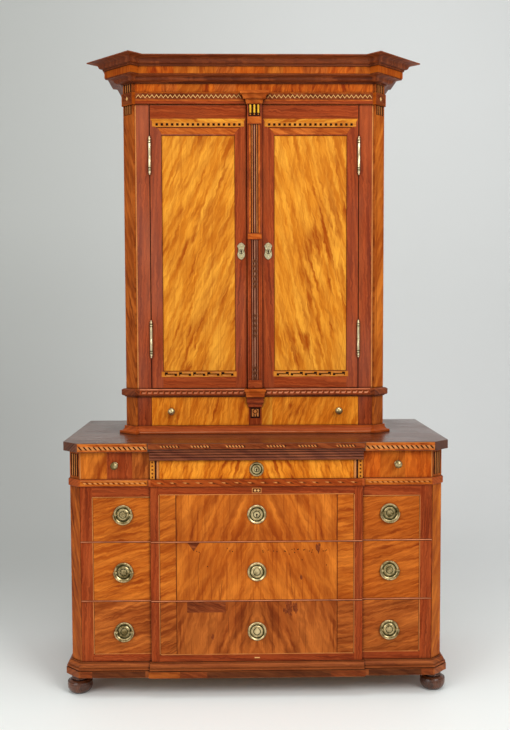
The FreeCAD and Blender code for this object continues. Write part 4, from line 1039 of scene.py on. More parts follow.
@dataclass
class SubAssembly:
    """A part of the furniture that finishes its CAD nodes and lays its inlay and relief on a body."""

    repeater: Repeater
    body: str = "case"
    weld: ClassVar[float] = 0.01
    edge_steps: ClassVar[int] = 2
    edge_angle: ClassVar[float] = 40.0
    leaf_widths: ClassVar[Flat] = (0.6, 1.5)
    hinge_ring: ClassVar[Spot] = (4.2, 1.4, 2.6)
    plank_pitch: ClassVar[float] = 165.0
    plank_joint: ClassVar[float] = 3.5
    plank_inset: ClassVar[float] = 1.0
    keyhole_eye: ClassVar[float] = 2.8
    keyhole_slit: ClassVar[Flat] = (1.3, 8.6)
    rim: ClassVar[Spot] = (0.91, 0.07, 0.7)
    hollow: ClassVar[Spot] = (0.71, 0.16, 0.15)
    dish: ClassVar[Spot] = (0.36, 0.1, 0.15)
    band_reach: ClassVar[float] = 0.51
    band_count: ClassVar[int] = 20
    bead_radius: ClassVar[float] = 0.045
    boss_beads: ClassVar[float] = 0.9
    rose_beads: ClassVar[float] = 0.6
    boss: ClassVar[Flat] = (0.25, 2.2)
    petal: ClassVar[Spot] = (0.26, 0.07, 1.4)
    petal_count: ClassVar[int] = 8
    petal_tall: ClassVar[float] = 1.5

    def finish(self, surface: Finish, *nodes: str, soft: float = 0.8) -> None:
        """Give CAD nodes a finish and soft edges.

        Args:
            surface: The finish.
            nodes: Names of the nodes.
            soft: Width of the softened edges, in millimetres.
        """
        for node in nodes:
            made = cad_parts[node]
            made.data.materials.clear()
            made.data.materials.append(surface.material)
            joined = made.modifiers.new("Joined", "WELD")
            joined.merge_threshold = self.weld * MM
            edge = made.modifiers.new("Soft edges", "BEVEL")
            edge.width = soft * MM
            edge.segments = self.edge_steps
            edge.limit_method = "ANGLE"
            edge.angle_limit = math.radians(self.edge_angle)
            edge.use_clamp_overlap = True

    def finish_drawer(self, *brasses: str) -> None:
        """Finish a drawer's front, its box and its brasses."""
        self.finish(Wood.LEVEL_RED.value, f"{self.body}_front", soft=0.6)
        self.finish(Wood.OAK.value, f"{self.body}_box", soft=0.5)
        self.finish(BRASS, *(f"{self.body}_{brass}" for brass in brasses), soft=0.3)

    def hand_over(self, **drafts: MeshDraft) -> None:
        """Let pieces ride on the body."""
        for slot, draft in drafts.items():
            draft.piece(self.body, slot)

    def border(self, draft: MeshDraft, plane: Plane, ends: Sequence[float], y: float, pitch: float,
               motif: Sequence[Flat], wood: Wood, rise: float = Rise.MOTIF) -> None:
        """Repeat a flat motif along a line of a face, centred between two ends.

        Args:
            draft: The piece that takes it.
            plane: The face.
            ends: Left and right end of the line.
            y: Height of the motif's middle.
            pitch: Distance from one motif to the next.
            motif: Outline about its own middle.
            wood: The motif's wood.
            rise: How far it stands out of the face.
        """
        left, right = ends
        count = int((right - left) / pitch)
        start = (left + right - (count - 1) * pitch) / 2
        unit = MeshDraft(f"{draft.name}_motif")
        unit.plate(plane, moved(motif, start, y), wood, LYING, rise)
        self.repeater.row(draft, unit, count, plane.across * pitch)

    def leaves(self, draft: MeshDraft, plane: Plane, edges: Sequence[float], heights: Flat,
               woods: Sequence[Wood], spread: float = 14.0) -> None:
        """Lay leaves of upright veneer side by side.

        Args:
            draft: The piece that takes them.
            plane: The face.
            edges: Lines between the leaves, from left to right.
            heights: Lower and upper line.
            woods: The woods, taken in turn.
            spread: How far their grain may lean to either side, in degrees.
        """
        for place, ends in enumerate(zip(edges, edges[1:])):
            lean = STANDING + draft.chance.uniform(-spread, spread)
            draft.strip(plane, ends, heights, woods[place % len(woods)], lean)

    def patches(self, draft: MeshDraft, plane: Plane, reach: float, heights: Flat, mean: float,
                woods: Sequence[Wood]) -> None:
        """Lay short leaves of veneer of changing width and tone.

        Args:
            draft: The piece that takes them.
            plane: The face.
            reach: Half of the run's length.
            heights: Lower and upper line.
            mean: Middle width of the leaves.
            woods: The woods to pick from.
        """
        edges = [-reach]
        while edges[-1] < reach:
            edges.append(min(reach, edges[-1] + mean * draft.chance.uniform(*self.leaf_widths)))
        picked = [draft.chance.choice(woods) for _ in edges]
        self.leaves(draft, plane, edges, heights, picked)

    def flutes(self, draft: MeshDraft, node: str, sign: int, middle: Flat, heights: Flat) -> None:
        """Paint shade into the four flutes of a canted post and highlights on the lands between them.

        Args:
            draft: The piece that takes the strips.
            node: Name of the post's CAD node.
            sign: +1 for the right corner, -1 for the left.
            middle: Plan place of the right corner's middle.
            heights: Lower and upper end of the strips.
        """
        # Pale strips on the lands are painted highlights; black strips in the flutes are painted shade.
        for places, half, wood, rise in ((LANDS, LAND_HALF, Wood.PALE, Rise.VENEER),
                                         (FLUTES, FLUTE_HALF, Wood.BLACK, FLUTE_FILL)):
            for aside in places:
                face = cant_at(node, sign, middle, sum(heights) / 2, aside)
                draft.strip(face, (-half, half), heights, wood, STANDING, rise)

    def hinge_rings(self, draft: MeshDraft, sign: int, way: int) -> None:
        """Turn dark rings round the ends of one side's hinge barrels, above or below their middles."""
        axis = (sign * HINGE_AXIS[0], HINGE_AXIS[1])
        for middle in HINGE_MIDDLES:
            for reach in HINGE_RINGS:
                draft.ring(Plane.level(middle + way * reach), axis, *self.hinge_ring, DARK_BRASS, 16)

    def back_boards(self, node: str) -> None:
        """Lay level boards with dark joints on the back of a case."""
        low, high = extent(node)
        plane = Plane(Vector((0, high.y, 0)), Vector((-1, 0, 0)))
        draft = MeshDraft(f"{node}_planks")
        count = round((high.z - low.z) / self.plank_pitch)
        levels = [low.z + (high.z - low.z) * place / count for place in range(count + 1)]
        ends = (-high.x + self.plank_inset, -low.x - self.plank_inset)
        for foot, top in zip(levels, levels[1:]):
            joint = foot + self.plank_joint
            draft.strip(plane, ends, (joint, top), Wood.PLANK, LYING, Rise.FLUSH)
            draft.strip(plane, ends, (foot, joint), Wood.BLACK, LYING, Rise.SKIN)
        self.hand_over(oak=draft)

    def beads(self, draft: MeshDraft, plane: Plane, centre: Flat, reach: float, count: int, radius: float,
              height: float, tall: float = 1.0) -> None:
        """Set a ring of brass beads or petals on a round plate.

        Args:
            draft: The piece that takes them.
            plane: The face of the plate.
            centre: Middle of the plate.
            reach: Radius of the ring.
            count: How many there are.
            radius: Radius of a bead along the ring.
            height: How far they stand out.
            tall: How much longer than wide they are, outwards.
        """
        unit = MeshDraft(f"{draft.name}_bead")
        unit.button(plane, (0, reach), radius, height, BRASS, 8, tall)
        self.repeater.ring(draft, unit, count, Vector((centre[0], 0, centre[1])))

    def plate_face(self, node: str, centre: Flat, reach: float) -> Plane:
        """Find the face of a round plate at a distance from its middle, up and to the right."""
        step = reach * math.sqrt(0.5)
        return face_at(node, centre[0] + step, centre[1] + step)

    def stamped(self, draft: MeshDraft, node: str, centre: Flat, radius: float, boss: bool) -> None:
        """Stamp the rings, dark hollows and beads of a round plate, in shares of its radius.

        Args:
            draft: The piece that takes them.
            node: Name of the plate's CAD node.
            centre: Middle of the plate.
            radius: Radius of the plate.
            boss: Whether a boss stands in the middle, in place of a keyhole.
        """
        for (share, width, height), finish in ((self.rim, BRASS), (self.hollow, DARK_BRASS),
                                               (self.dish, DARK_BRASS)):
            reach = radius * share
            face = self.plate_face(node, centre, reach)
            draft.ring(face, centre, reach, radius * width, height, finish)
        reach = radius * self.band_reach
        bead_height = self.boss_beads if boss else self.rose_beads
        self.beads(draft, self.plate_face(node, centre, reach), centre, reach, self.band_count,
                   radius * self.bead_radius, bead_height)
        if boss:
            draft.button(face_at(node, *centre), centre, radius * self.boss[0], self.boss[1], BRASS, 16)
            share, width, height = self.petal
            self.beads(draft, face, centre, radius * share, self.petal_count, radius * width, height,
                       self.petal_tall)

    def keyhole(self, draft: MeshDraft, plane: Plane, x: float, z: float) -> None:
        """Paint shade on the board behind a keyhole, as a black eye and slit."""
        half, drop = self.keyhole_slit
        draft.plate(plane, moved(rounded(self.keyhole_eye, 12), x, z), Wood.BLACK, LYING, Rise.EYE)
        draft.strip(plane, (x - half, x + half), (z - drop, z), Wood.BLACK, STANDING, Rise.SLIT)


@dataclass
class Chest(SubAssembly):
    """The lower case with its feet, posts, rails and top."""

    side_x: float = 480.0
    edge_looks: Flat = (10.0, 15.0)
    edge_middle: float = 363.0
    edge_side: Flat = (366.0, 600.0)
    edge_drops: Flat = (20.0, 2.0)
    # Strips of the sides' edge, down from the top in millimetres: the ground, a painted highlight line, and
    # the pale band behind the ticks.
    edge_strips: ClassVar[tuple[tuple[float, float, Wood, float], ...]] = (
        (29.0, 2.0, Wood.STRIP, Rise.GROUND), (3.6, 1.8, Wood.PALE, Rise.LAID),
        (23.5, 12.0, Wood.PALE, Rise.VENEER))
    tick: ClassVar[list[Flat]] = slanted(5.4, 10.5, -4.6)
    tick_drop: float = 17.7
    tick_pitch: float = 16.5
    pale_leaf: ClassVar[list[Flat]] = slanted(5.6, 6.5, -2.4)
    dark_leaf: ClassVar[list[Flat]] = slanted(4.0, 8.0, -2.4)
    leaf_drop: float = 11.0
    leaf_pitch: float = 10.6
    group_width: float = 74.0
    group_places: tuple[float, ...] = (-293.0, -190.0, -73.0, 64.0, 170.0, 297.0)
    rail_middle: float = 356.0
    rail_trim: float = 1.0
    pale_dash: ClassVar[list[Flat]] = slanted(13.0, 4.0, -5.0)
    dark_dash: ClassVar[list[Flat]] = slanted(8.0, 4.0, -4.0)
    dash_reach: float = 352.0
    dash_shift: float = 9.0
    dash_up: float = 1.0
    dash_pitch: float = 43.5
    rope_side: Flat = (368.0, 594.0)
    rope_half: float = 9.0
    rope_line: float = 2.0
    pale_strand: ClassVar[list[Flat]] = slanted(9.0, 5.5, -3.2)
    dark_strand: ClassVar[list[Flat]] = slanted(4.0, 5.5, -2.6)
    strand_drops: Flat = (0.5, 1.0)
    rope_pitch: float = 17.7
    divider_x: float = 350.5
    divider_look: float = 348.0
    divider_half: float = 7.5
    divider_line: Flat = (342.0, 338.0)
    divider_heights: Flat = (749.0, 812.0)
    dot_radius: float = 3.1
    dot_foot: float = 756.0
    dot_pitch: float = 12.5
    dot_count: int = 5
    plinth_look: float = 85.0
    plinth_heights: Flat = (73.0, 93.0)
    plinth_cuts: tuple[float, ...] = (-368.0, -262.0, -170.0, -30.0, 90.0, 250.0, 368.0)
    plinth_woods: ClassVar[tuple[Wood, ...]] = (Wood.LOW_CROSS, Wood.PATCH, Wood.DUSK, Wood.DUSK, Wood.DUSK,
                                                Wood.PATCH)
    plinth_sides: Spot = (380.0, 560.0, 600.0)
    foot_reach: float = 43.0
    foot_bead: float = 36.0
    foot_ring: Flat = (3.4, 4.0)
    post_middle: Flat = (616.0, -278.5)
    flute_heights: Flat = (759.0, 832.0)
    painted_light_half: float = 25.5
    painted_light_look: float = 400.0
    painted_light_heights: Flat = (122.0, 722.0)

    def dress(self) -> None:
        """Finish the CAD nodes of the lower case."""
        self.finish(Wood.FOOT.value, "bun_feet")
        self.finish(Wood.PLINTH.value, "plinth")
        self.finish(Wood.BASE.value, "rope_rail", soft=0.4)
        self.finish(Wood.UPRIGHT_RED.value, "lower_sides", "frieze_dividers")
        self.finish(Wood.OAK.value, "lower_back", "lower_boards", soft=0.5)
        self.finish(Wood.POST.value, "lower_posts")
        self.finish(Wood.REED.value, "reeded_band")
        self.finish(Wood.TOP.value, "lower_top", soft=1.2)

    def build(self) -> None:
        """Lay the inlay of the top's edge, rails, dividers and plinth, and the painted shade, highlights and
        light of the posts.
        """
        inlay, banding = MeshDraft("chest_inlay"), MeshDraft("chest_banding")
        self.top_edge(inlay)
        self.rope(inlay)
        self.dividers(inlay)
        for sign in SIGNS.values():
            self.flutes(banding, "lower_posts", sign, self.post_middle, self.flute_heights)
        # Painted light: a lighter veneer strip on the right lower post only.
        painted_light = cant_at("lower_posts", 1, self.post_middle, self.painted_light_look)
        inlay.strip(painted_light, (-self.painted_light_half, self.painted_light_half), self.painted_light_heights, Wood.FIELD, STANDING)
        self.plinth(banding)
        self.feet(banding)
        self.back_boards("lower_back")
        self.hand_over(satinwood=inlay, mahogany=banding)

    def feet(self, draft: MeshDraft) -> None:
        """Turn a bead round each bun foot."""
        low, high = extent("bun_feet")
        for x in (low.x + self.foot_reach, high.x - self.foot_reach):
            for y in (low.y + self.foot_reach, high.y - self.foot_reach):
                spot = struck("bun_feet", Vector((x, y - CORNER_RAY, self.foot_bead)), Vector((0, 1, 0)))
                draft.ring(Plane.level(self.foot_bead), (x, y), y - spot.y, *self.foot_ring,
                           Wood.FOOT.value, 28)

    def top_edge(self, draft: MeshDraft) -> None:
        """Lay twisted ticks on the sides of the top's edge with a painted highlight along their top, and
        groups of leaves on its middle.
        """
        top = extent("lower_top")[1].z
        middle_look, side_look = self.edge_looks
        middle = face_at("lower_top", 0, top - middle_look)
        for sign in SIGNS.values():
            ends = span(sign, *self.edge_side)
            side = face_at("lower_top", sign * self.side_x, top - side_look)
            for low, high, wood, rise in self.edge_strips:
                draft.strip(side, ends, (top - low, top - high), wood, LYING, rise)
            self.border(draft, side, ends, top - self.tick_drop, self.tick_pitch, self.tick, Wood.BLACK)
        heights = tuple(top - drop for drop in self.edge_drops)
        draft.strip(middle, (-self.edge_middle, self.edge_middle), heights, Wood.PATCH, LYING, Rise.SKIN)
        for place in self.group_places:
            for wood, leaf, shift in ((Wood.PALE, self.pale_leaf, 0.0),
                                      (Wood.BLACK, self.dark_leaf, self.leaf_pitch / 2)):
                start = place - self.group_width / 2 + shift
                self.border(draft, middle, (start, start + self.group_width), top - self.leaf_drop,
                            self.leaf_pitch, leaf, wood, Rise.FLUSH)

    def rope(self, draft: MeshDraft) -> None:
        """Lay slanted lozenges along the rail under the frieze drawers, closer at its sides."""
        low, high = extent("rope_rail")
        level = (low.z + high.z) / 2
        middle = face_at("rope_rail", 0, level)
        heights = (low.z + self.rail_trim, high.z - self.rail_trim)
        ends = (-self.rail_middle, self.rail_middle)
        draft.strip(middle, ends, heights, Wood.PATCH_RED, LYING, Rise.GROUND)
        for wood, dash, shift, up in ((Wood.PALE, self.pale_dash, 0.0, self.dash_up),
                                      (Wood.TANNED, self.dark_dash, self.dash_shift, -self.dash_up)):
            ends = (shift - self.dash_reach, shift + self.dash_reach)
            self.border(draft, middle, ends, level + up, self.dash_pitch, dash, wood)
        pale_drop, dark_drop = self.strand_drops
        for sign in SIGNS.values():
            ends = span(sign, *self.rope_side)
            side = face_at("rope_rail", sign * self.side_x, level)
            top, half = level + self.rope_half, self.rope_pitch / 2
            draft.strip(side, ends, (level - self.rope_half, top), Wood.CROSS)
            draft.strip(side, ends, (top - self.rope_line, top), Wood.PALE, LYING, Rise.LAID)
            self.border(draft, side, ends, level - pale_drop, self.rope_pitch, self.pale_strand, Wood.PALE)
            shifted = (ends[0] + half, ends[1] + half - self.rail_trim)
            self.border(draft, side, shifted, level - dark_drop, self.rope_pitch, self.dark_strand,
                        Wood.TANNED)

    def dividers(self, draft: MeshDraft) -> None:
        """Lay a golden strip with dark dots and a dark line on each frieze divider."""
        low, high = extent("frieze_dividers")
        for sign in SIGNS.values():
            x = sign * self.divider_x
            plane = face_at("frieze_dividers", sign * self.divider_look, (low.z + high.z) / 2)
            ends = (x - self.divider_half, x + self.divider_half)
            draft.strip(plane, ends, self.divider_heights, Wood.GOLDEN, STANDING)
            draft.strip(plane, span(sign, *self.divider_line), self.divider_heights, Wood.BLACK, STANDING)
            unit = MeshDraft("divider_dot")
            dot = moved(rounded(self.dot_radius, 8), x, self.dot_foot)
            unit.plate(plane, dot, Wood.TANNED, LYING, Rise.MOTIF)
            self.repeater.row(draft, unit, self.dot_count, plane.up * self.dot_pitch)

    def plinth(self, draft: MeshDraft) -> None:
        """Lay dark, patched veneer on the flat board of the plinth."""
        middle = face_at("plinth", 0, self.plinth_look)
        for wood, *ends in zip(self.plinth_woods, self.plinth_cuts, self.plinth_cuts[1:]):
            draft.strip(middle, ends, self.plinth_heights, wood, LYING, Rise.FLUSH)
        inner, joint, outer = self.plinth_sides
        for sign in SIGNS.values():
            side = face_at("plinth", sign * self.side_x, self.plinth_look)
            for ends, wood in ((span(sign, inner, joint), Wood.DUSK), (span(sign, joint, outer), Wood.PATCH)):
                draft.strip(side, ends, self.plinth_heights, wood, LYING, Rise.GROUND)


@dataclass
class LongDrawer(SubAssembly):
    """One of the three breakfront drawers, with its brasses."""

    border_top: bool = False
    border_low: bool = False
    covered: bool = False
    field_wood: Wood = Wood.FIELD
    cross_wood: Wood = Wood.CROSS
    far_wood: Wood = Wood.DEEP_CROSS
    worm_holes: int = 0
    knots: tuple[Spot, ...] = ()
    cracks: tuple[tuple[float, float, float, float], ...] = ()
    repair: tuple[Flat, ...] = ()
    break_half: float = 358.0
    step: float = 10.0
    outer: float = 40.0
    inner: float = 27.0
    cross_end: float = 274.0
    joint: float = 3.0
    wing_lean: float = 24.0
    cross_lean: float = 8.0
    middle_borders: Flat = (24.0, 25.0)
    wing_borders: Flat = (25.0, 36.0)
    pale_line: float = 2.2
    dark_line: float = 1.4
    level_line: float = 1.6
    worn_lines: Flat = (2.8, 4.6)
    tablet_up: float = 12.0
    tablet_pale: Flat = (16.0, 9.0)
    tablet_dark: Flat = (13.6, 6.6)
    tablet_dot: float = 3.8
    tablet_dots: Flat = (-5.4, 5.4)
    mark_half: float = 9.0
    mark_heights: Flat = (10.0, 14.0)
    plate_x: float = 452.0
    plate_radius: float = 32.0
    worm_row: Flat = (30.0, 3.0)
    worm_drops: Flat = (14.0, 90.0)
    worm_ends: Flat = (-210.0, 240.0)
    worm_radius: float = 2.0
    knot_radii: Flat = (1.4, 3.0)
    knot_talls: Flat = (2.0, 4.0)
    knot_height: float = 0.12
    crack_half: float = 0.5

    def __post_init__(self) -> None:
        """Work out the faces and the heights of the front."""
        low, high = extent(f"{self.body}_front")
        self.middle = Plane.front(low.y)
        self.side = Plane.front(low.y + self.step)
        self.low, self.high, self.end = low.z, high.z, high.x
        self.level = (low.z + high.z) / 2

    def dress(self) -> None:
        """Finish the drawer's CAD nodes."""
        covers = ("keyhole_cover",) if self.covered else ()
        self.finish_drawer("fittings", "bail_left", "bail_right", *covers)

    def inside(self, borders: Flat) -> Flat:
        """Give the lower and upper line of a field inside its lower and upper border."""
        low, top = borders
        return self.low + (low if self.border_low else 0), self.high - (top if self.border_top else 0)

    def build(self) -> None:
        """Lay the veneers, their borders, the marks of age and the stamped relief of the brasses."""
        veneer, banding = MeshDraft(f"{self.body}_veneer"), MeshDraft(f"{self.body}_banding")
        heights = self.inside(self.middle_borders)
        self.centre(veneer, banding, heights)
        for sign in SIGNS.values():
            self.wing(veneer, banding, sign)
        if not self.border_low:
            self.worn(veneer, banding)
        self.age(banding, heights[1])
        self.keyhole(banding, self.middle, 0, self.level)
        relief = MeshDraft(f"{self.body}_relief")
        for x in (-self.plate_x, 0, self.plate_x):
            self.stamped(relief, f"{self.body}_fittings", (x, self.level), self.plate_radius, x != 0)
        self.hand_over(satinwood=veneer, mahogany=banding, brass=relief)

    def lines(self, veneer: MeshDraft, banding: MeshDraft, plane: Plane, x: float, sign: int,
              heights: Flat) -> None:
        """Lay an upright pale line with a dark line beside it, inwards of a place."""
        joint = x - sign * self.pale_line
        veneer.strip(plane, sorted((x, joint)), heights, Wood.PALE, STANDING, Rise.LINE)
        ends = sorted((joint, joint - sign * self.dark_line))
        banding.strip(plane, ends, heights, Wood.BLACK, STANDING, Rise.LINE)

    def centre(self, veneer: MeshDraft, banding: MeshDraft, heights: Flat) -> None:
        """Lay the middle section: border, cross-grained strips and two matched leaves."""
        face, (foot, top) = self.middle, heights
        edge, book_end = self.break_half - self.inner, self.cross_end - self.joint
        veneer.book(face, book_end, heights, self.field_wood)
        for sign in SIGNS.values():
            lean = self.wing_lean - sign * self.cross_lean
            veneer.strip(face, span(sign, self.cross_end, edge - self.joint), heights, self.cross_wood, lean)
        for sign in SIGNS.values():
            banding.strip(face, span(sign, edge, self.break_half), (self.low, self.high), Wood.BORDER,
                          STANDING)
            self.lines(veneer, banding, face, sign * edge, sign, heights)
            banding.strip(face, span(sign, self.cross_end, book_end), heights, Wood.TANNED, STANDING,
                          Rise.LAID)
        ends = (-edge, edge)
        if self.border_top:
            banding.strip(face, ends, (top, self.high), Wood.BORDER)
            veneer.strip(face, ends, (top - self.pale_line, top), Wood.PALE, LYING, Rise.LINE)
            self.tablet(veneer, banding, top + self.tablet_up)
        if self.border_low:
            banding.strip(face, ends, (self.low, foot), Wood.BORDER)
            veneer.strip(face, ends, (foot, foot + self.pale_line), Wood.PALE, LYING, Rise.LINE)
            mark = [self.low + up for up in self.mark_heights]
            veneer.strip(face, (-self.mark_half, self.mark_half), mark, Wood.CREAM, LYING, Rise.INLAY)

    def tablet(self, veneer: MeshDraft, banding: MeshDraft, level: float) -> None:
        """Lay a small tablet with two cream dots on the upper border."""
        for draft, (half, up), wood, rise in ((veneer, self.tablet_pale, Wood.PALE, Rise.LAID),
                                              (banding, self.tablet_dark, Wood.TANNED, Rise.INLAY)):
            draft.strip(self.middle, (-half, half), (level - up, level + up), wood, LYING, rise)
        for x in self.tablet_dots:
            dot = moved(rounded(self.tablet_dot, 10), x, level)
            veneer.plate(self.middle, dot, Wood.CREAM, LYING, Rise.MOTIF)

    def wing(self, veneer: MeshDraft, banding: MeshDraft, sign: int) -> None:
        """Lay one side section: an outer border and a field with level flames."""
        face, edge = self.side, self.end - self.outer
        heights = self.inside(self.wing_borders)
        foot, top = heights
        ends = span(sign, self.break_half, edge)
        wood = self.far_wood if sign > 0 else self.cross_wood
        veneer.strip(face, ends, heights, wood, self.wing_lean)
        banding.strip(face, span(sign, edge, self.end), (self.low, self.high), Wood.BORDER, STANDING)
        self.lines(veneer, banding, face, sign * edge, sign, heights)
        if self.border_top:
            banding.strip(face, ends, (top, self.high), Wood.BORDER)
            veneer.strip(face, ends, (top, top + self.pale_line), Wood.PALE, LYING, Rise.LINE)
            banding.strip(face, ends, (top - self.level_line, top), Wood.BLACK, LYING, Rise.LINE)
        if self.border_low:
            banding.strip(face, ends, (self.low, foot), Wood.BORDER)
            veneer.strip(face, ends, (foot, foot + self.pale_line), Wood.PALE, LYING, Rise.LINE)

    def worn(self, veneer: MeshDraft, banding: MeshDraft) -> None:
        """Lay the worn line along the drawer's foot, with a dark line over it."""
        pale, dark = (self.low + up for up in self.worn_lines)
        for plane, ends in ((self.middle, (-self.break_half, self.break_half)),
                            (self.side, (-self.end, -self.break_half)),
                            (self.side, (self.break_half, self.end))):
            veneer.strip(plane, ends, (self.low, pale), Wood.WEAR_AND_HIGHLIGHT, LYING, Rise.INLAY)
            banding.strip(plane, ends, (pale, dark), Wood.TANNED, LYING, Rise.INLAY)

    def age(self, draft: MeshDraft, top: float) -> None:
        """Lay the let-in repair, and mark the worm holes, knots and cracks of the middle section."""
        if self.repair:
            draft.plate(self.middle, moved(self.repair, 0, top), Wood.PATCH)
        face = Plane.front(self.middle.origin.y - Rise.VENEER)
        chance = draft.chance
        for place in range(self.worm_holes):
            drop = chance.gauss(*self.worm_row) if place % 3 else chance.uniform(*self.worm_drops)
            spot = (chance.uniform(*self.worm_ends), top - drop)
            draft.button(face, spot, self.worm_radius, Rise.FILM, Wood.BLACK.value, 6)
        for x, drop, reach in self.knots:
            for _ in range(int(3 * reach)):
                spot = (x + chance.gauss(0, reach / 3), top + drop + chance.gauss(0, reach / 2))
                draft.button(face, spot, chance.uniform(*self.knot_radii), self.knot_height,
                             Wood.PATCH.value, 6, chance.uniform(*self.knot_talls))
        half = self.crack_half
        for x, drop, length, sway in self.cracks:
            crack = [(-half, 0), (sway - half, -length), (sway + half, -length), (half, 0)]
            draft.plate(self.middle, moved(crack, x, top + drop), Wood.TANNED)


@dataclass
class SmallDrawer(SubAssembly):
    """A frieze drawer: left, right or centre."""

    place: str = "left"
    cuts: Flat = (504.0, 419.0)
    spread: float = 4.0
    edge_highlight: float = 4.0
    line_insets: Flat = (7.0, 9.0)
    rose_radius: float = 24.0
    woods: ClassVar[dict[str, tuple[Wood, ...]]] = {"left": (Wood.FIELD, Wood.BORDER, Wood.LOW_FIELD),
                                                    "right": (Wood.LEAF, Wood.FIELD, Wood.LEAF)}

    def __post_init__(self) -> None:
        """Take the body."""
        self.body = f"frieze_drawer_{self.place}"

    def dress(self) -> None:
        """Finish the drawer's CAD nodes."""
        self.finish_drawer("fittings" if self.place == "centre" else "knob")

    def build(self) -> None:
        """Lay the upright veneers of the front, a painted highlight down a side drawer's outer edge, and
        stamp the rose of the middle drawer.
        """
        low, high = extent(f"{self.body}_front")
        plane, heights = Plane.front(low.y), (low.z, high.z)
        veneer = MeshDraft(f"{self.body}_veneer")
        if self.place == "centre":
            pale, dark = (high.x - inset for inset in self.line_insets)
            veneer.book(plane, dark, heights, Wood.DRAWER)
            for sign in SIGNS.values():
                veneer.strip(plane, span(sign, pale, high.x), heights, Wood.PALE, STANDING)
                veneer.strip(plane, span(sign, dark, pale), heights, Wood.TANNED, STANDING)
            level = sum(heights) / 2
            self.keyhole(veneer, plane, 0, level)
            relief = MeshDraft(f"{self.body}_relief")
            self.stamped(relief, f"{self.body}_fittings", (0, level), self.rose_radius, False)
            self.hand_over(brass=relief)
        else:
            sign = SIGNS[self.place]
            edges = sorted([low.x, high.x, *(sign * cut for cut in self.cuts)])
            self.leaves(veneer, plane, edges, heights, self.woods[self.place], self.spread)
            # Painted highlight: a pale strip down the drawer's outer edge.
            outside = max(abs(low.x), abs(high.x))
            ends = span(sign, outside, outside - self.edge_highlight)
            veneer.strip(plane, ends, heights, Wood.PALE, STANDING, Rise.LINE)
        self.hand_over(satinwood=veneer)


@dataclass
class UpperDrawer(SubAssembly):
    """The shallow drawer under the doors."""

    body: str = "upper_drawer"
    face_x: float = 200.0
    spread: float = 10.0
    cuts: Flat = (283.0, 118.0)
    bright: float = 38.0
    block: float = 23.5
    block_drop: float = 36.0
    motif: float = 947.0
    eye_up: float = 5.0
    eye: float = 9.5
    gem: Flat = (13.0, 15.0)
    teeth: Flat = (-4.2, 4.2)
    ground: ClassVar[list[Flat]] = oblong((-17.0, 17.0), (-19.0, 19.0))
    shield: ClassVar[list[Flat]] = oblong((-12.0, 12.0), (-13.0, 14.0))
    tooth: ClassVar[list[Flat]] = oblong((-2.0, 2.0), (-13.2, -5.0))

    def dress(self) -> None:
        """Finish the drawer's CAD nodes."""
        self.finish_drawer("knobs")

    def build(self) -> None:
        """Lay the leaves of veneer, and a small comb under a diamond in the middle."""
        low, high = extent("upper_drawer_front")
        heights = (low.z, high.z)
        plane = face_at("upper_drawer_front", self.face_x, sum(heights) / 2)
        veneer, banding = MeshDraft("upper_drawer_veneer"), MeshDraft("upper_drawer_banding")
        left = [low.x, *(-cut for cut in self.cuts), -self.block]
        right = [self.block, self.block + self.bright, *reversed(self.cuts), high.x]
        plain = (Wood.DRAWER,)
        self.leaves(veneer, plane, left, heights, plain, self.spread)
        self.leaves(veneer, plane, right, heights, (Wood.DOOR, *plain, *plain, *plain), self.spread)
        banding.strip(plane, (-self.block, self.block), (low.z, high.z - self.block_drop), Wood.BORDER,
                      STANDING)
        banding.plate(plane, moved(self.ground, 0, self.motif), Wood.BLACK, STANDING, Rise.LINE)
        veneer.plate(plane, moved(self.shield, 0, self.motif), Wood.PALE, STANDING, Rise.MOTIF)
        level = self.motif + self.eye_up
        banding.plate(plane, moved(rounded(self.eye, 14), 0, level), Wood.TANNED, LYING, Rise.BADGE)
        veneer.plate(plane, moved(diamond(*self.gem), 0, level), Wood.PALE, LYING, Rise.GEM)
        for x in self.teeth:
            banding.plate(plane, moved(self.tooth, x, self.motif), Wood.BLACK, STANDING, Rise.BADGE)
        self.hand_over(satinwood=veneer, mahogany=banding)


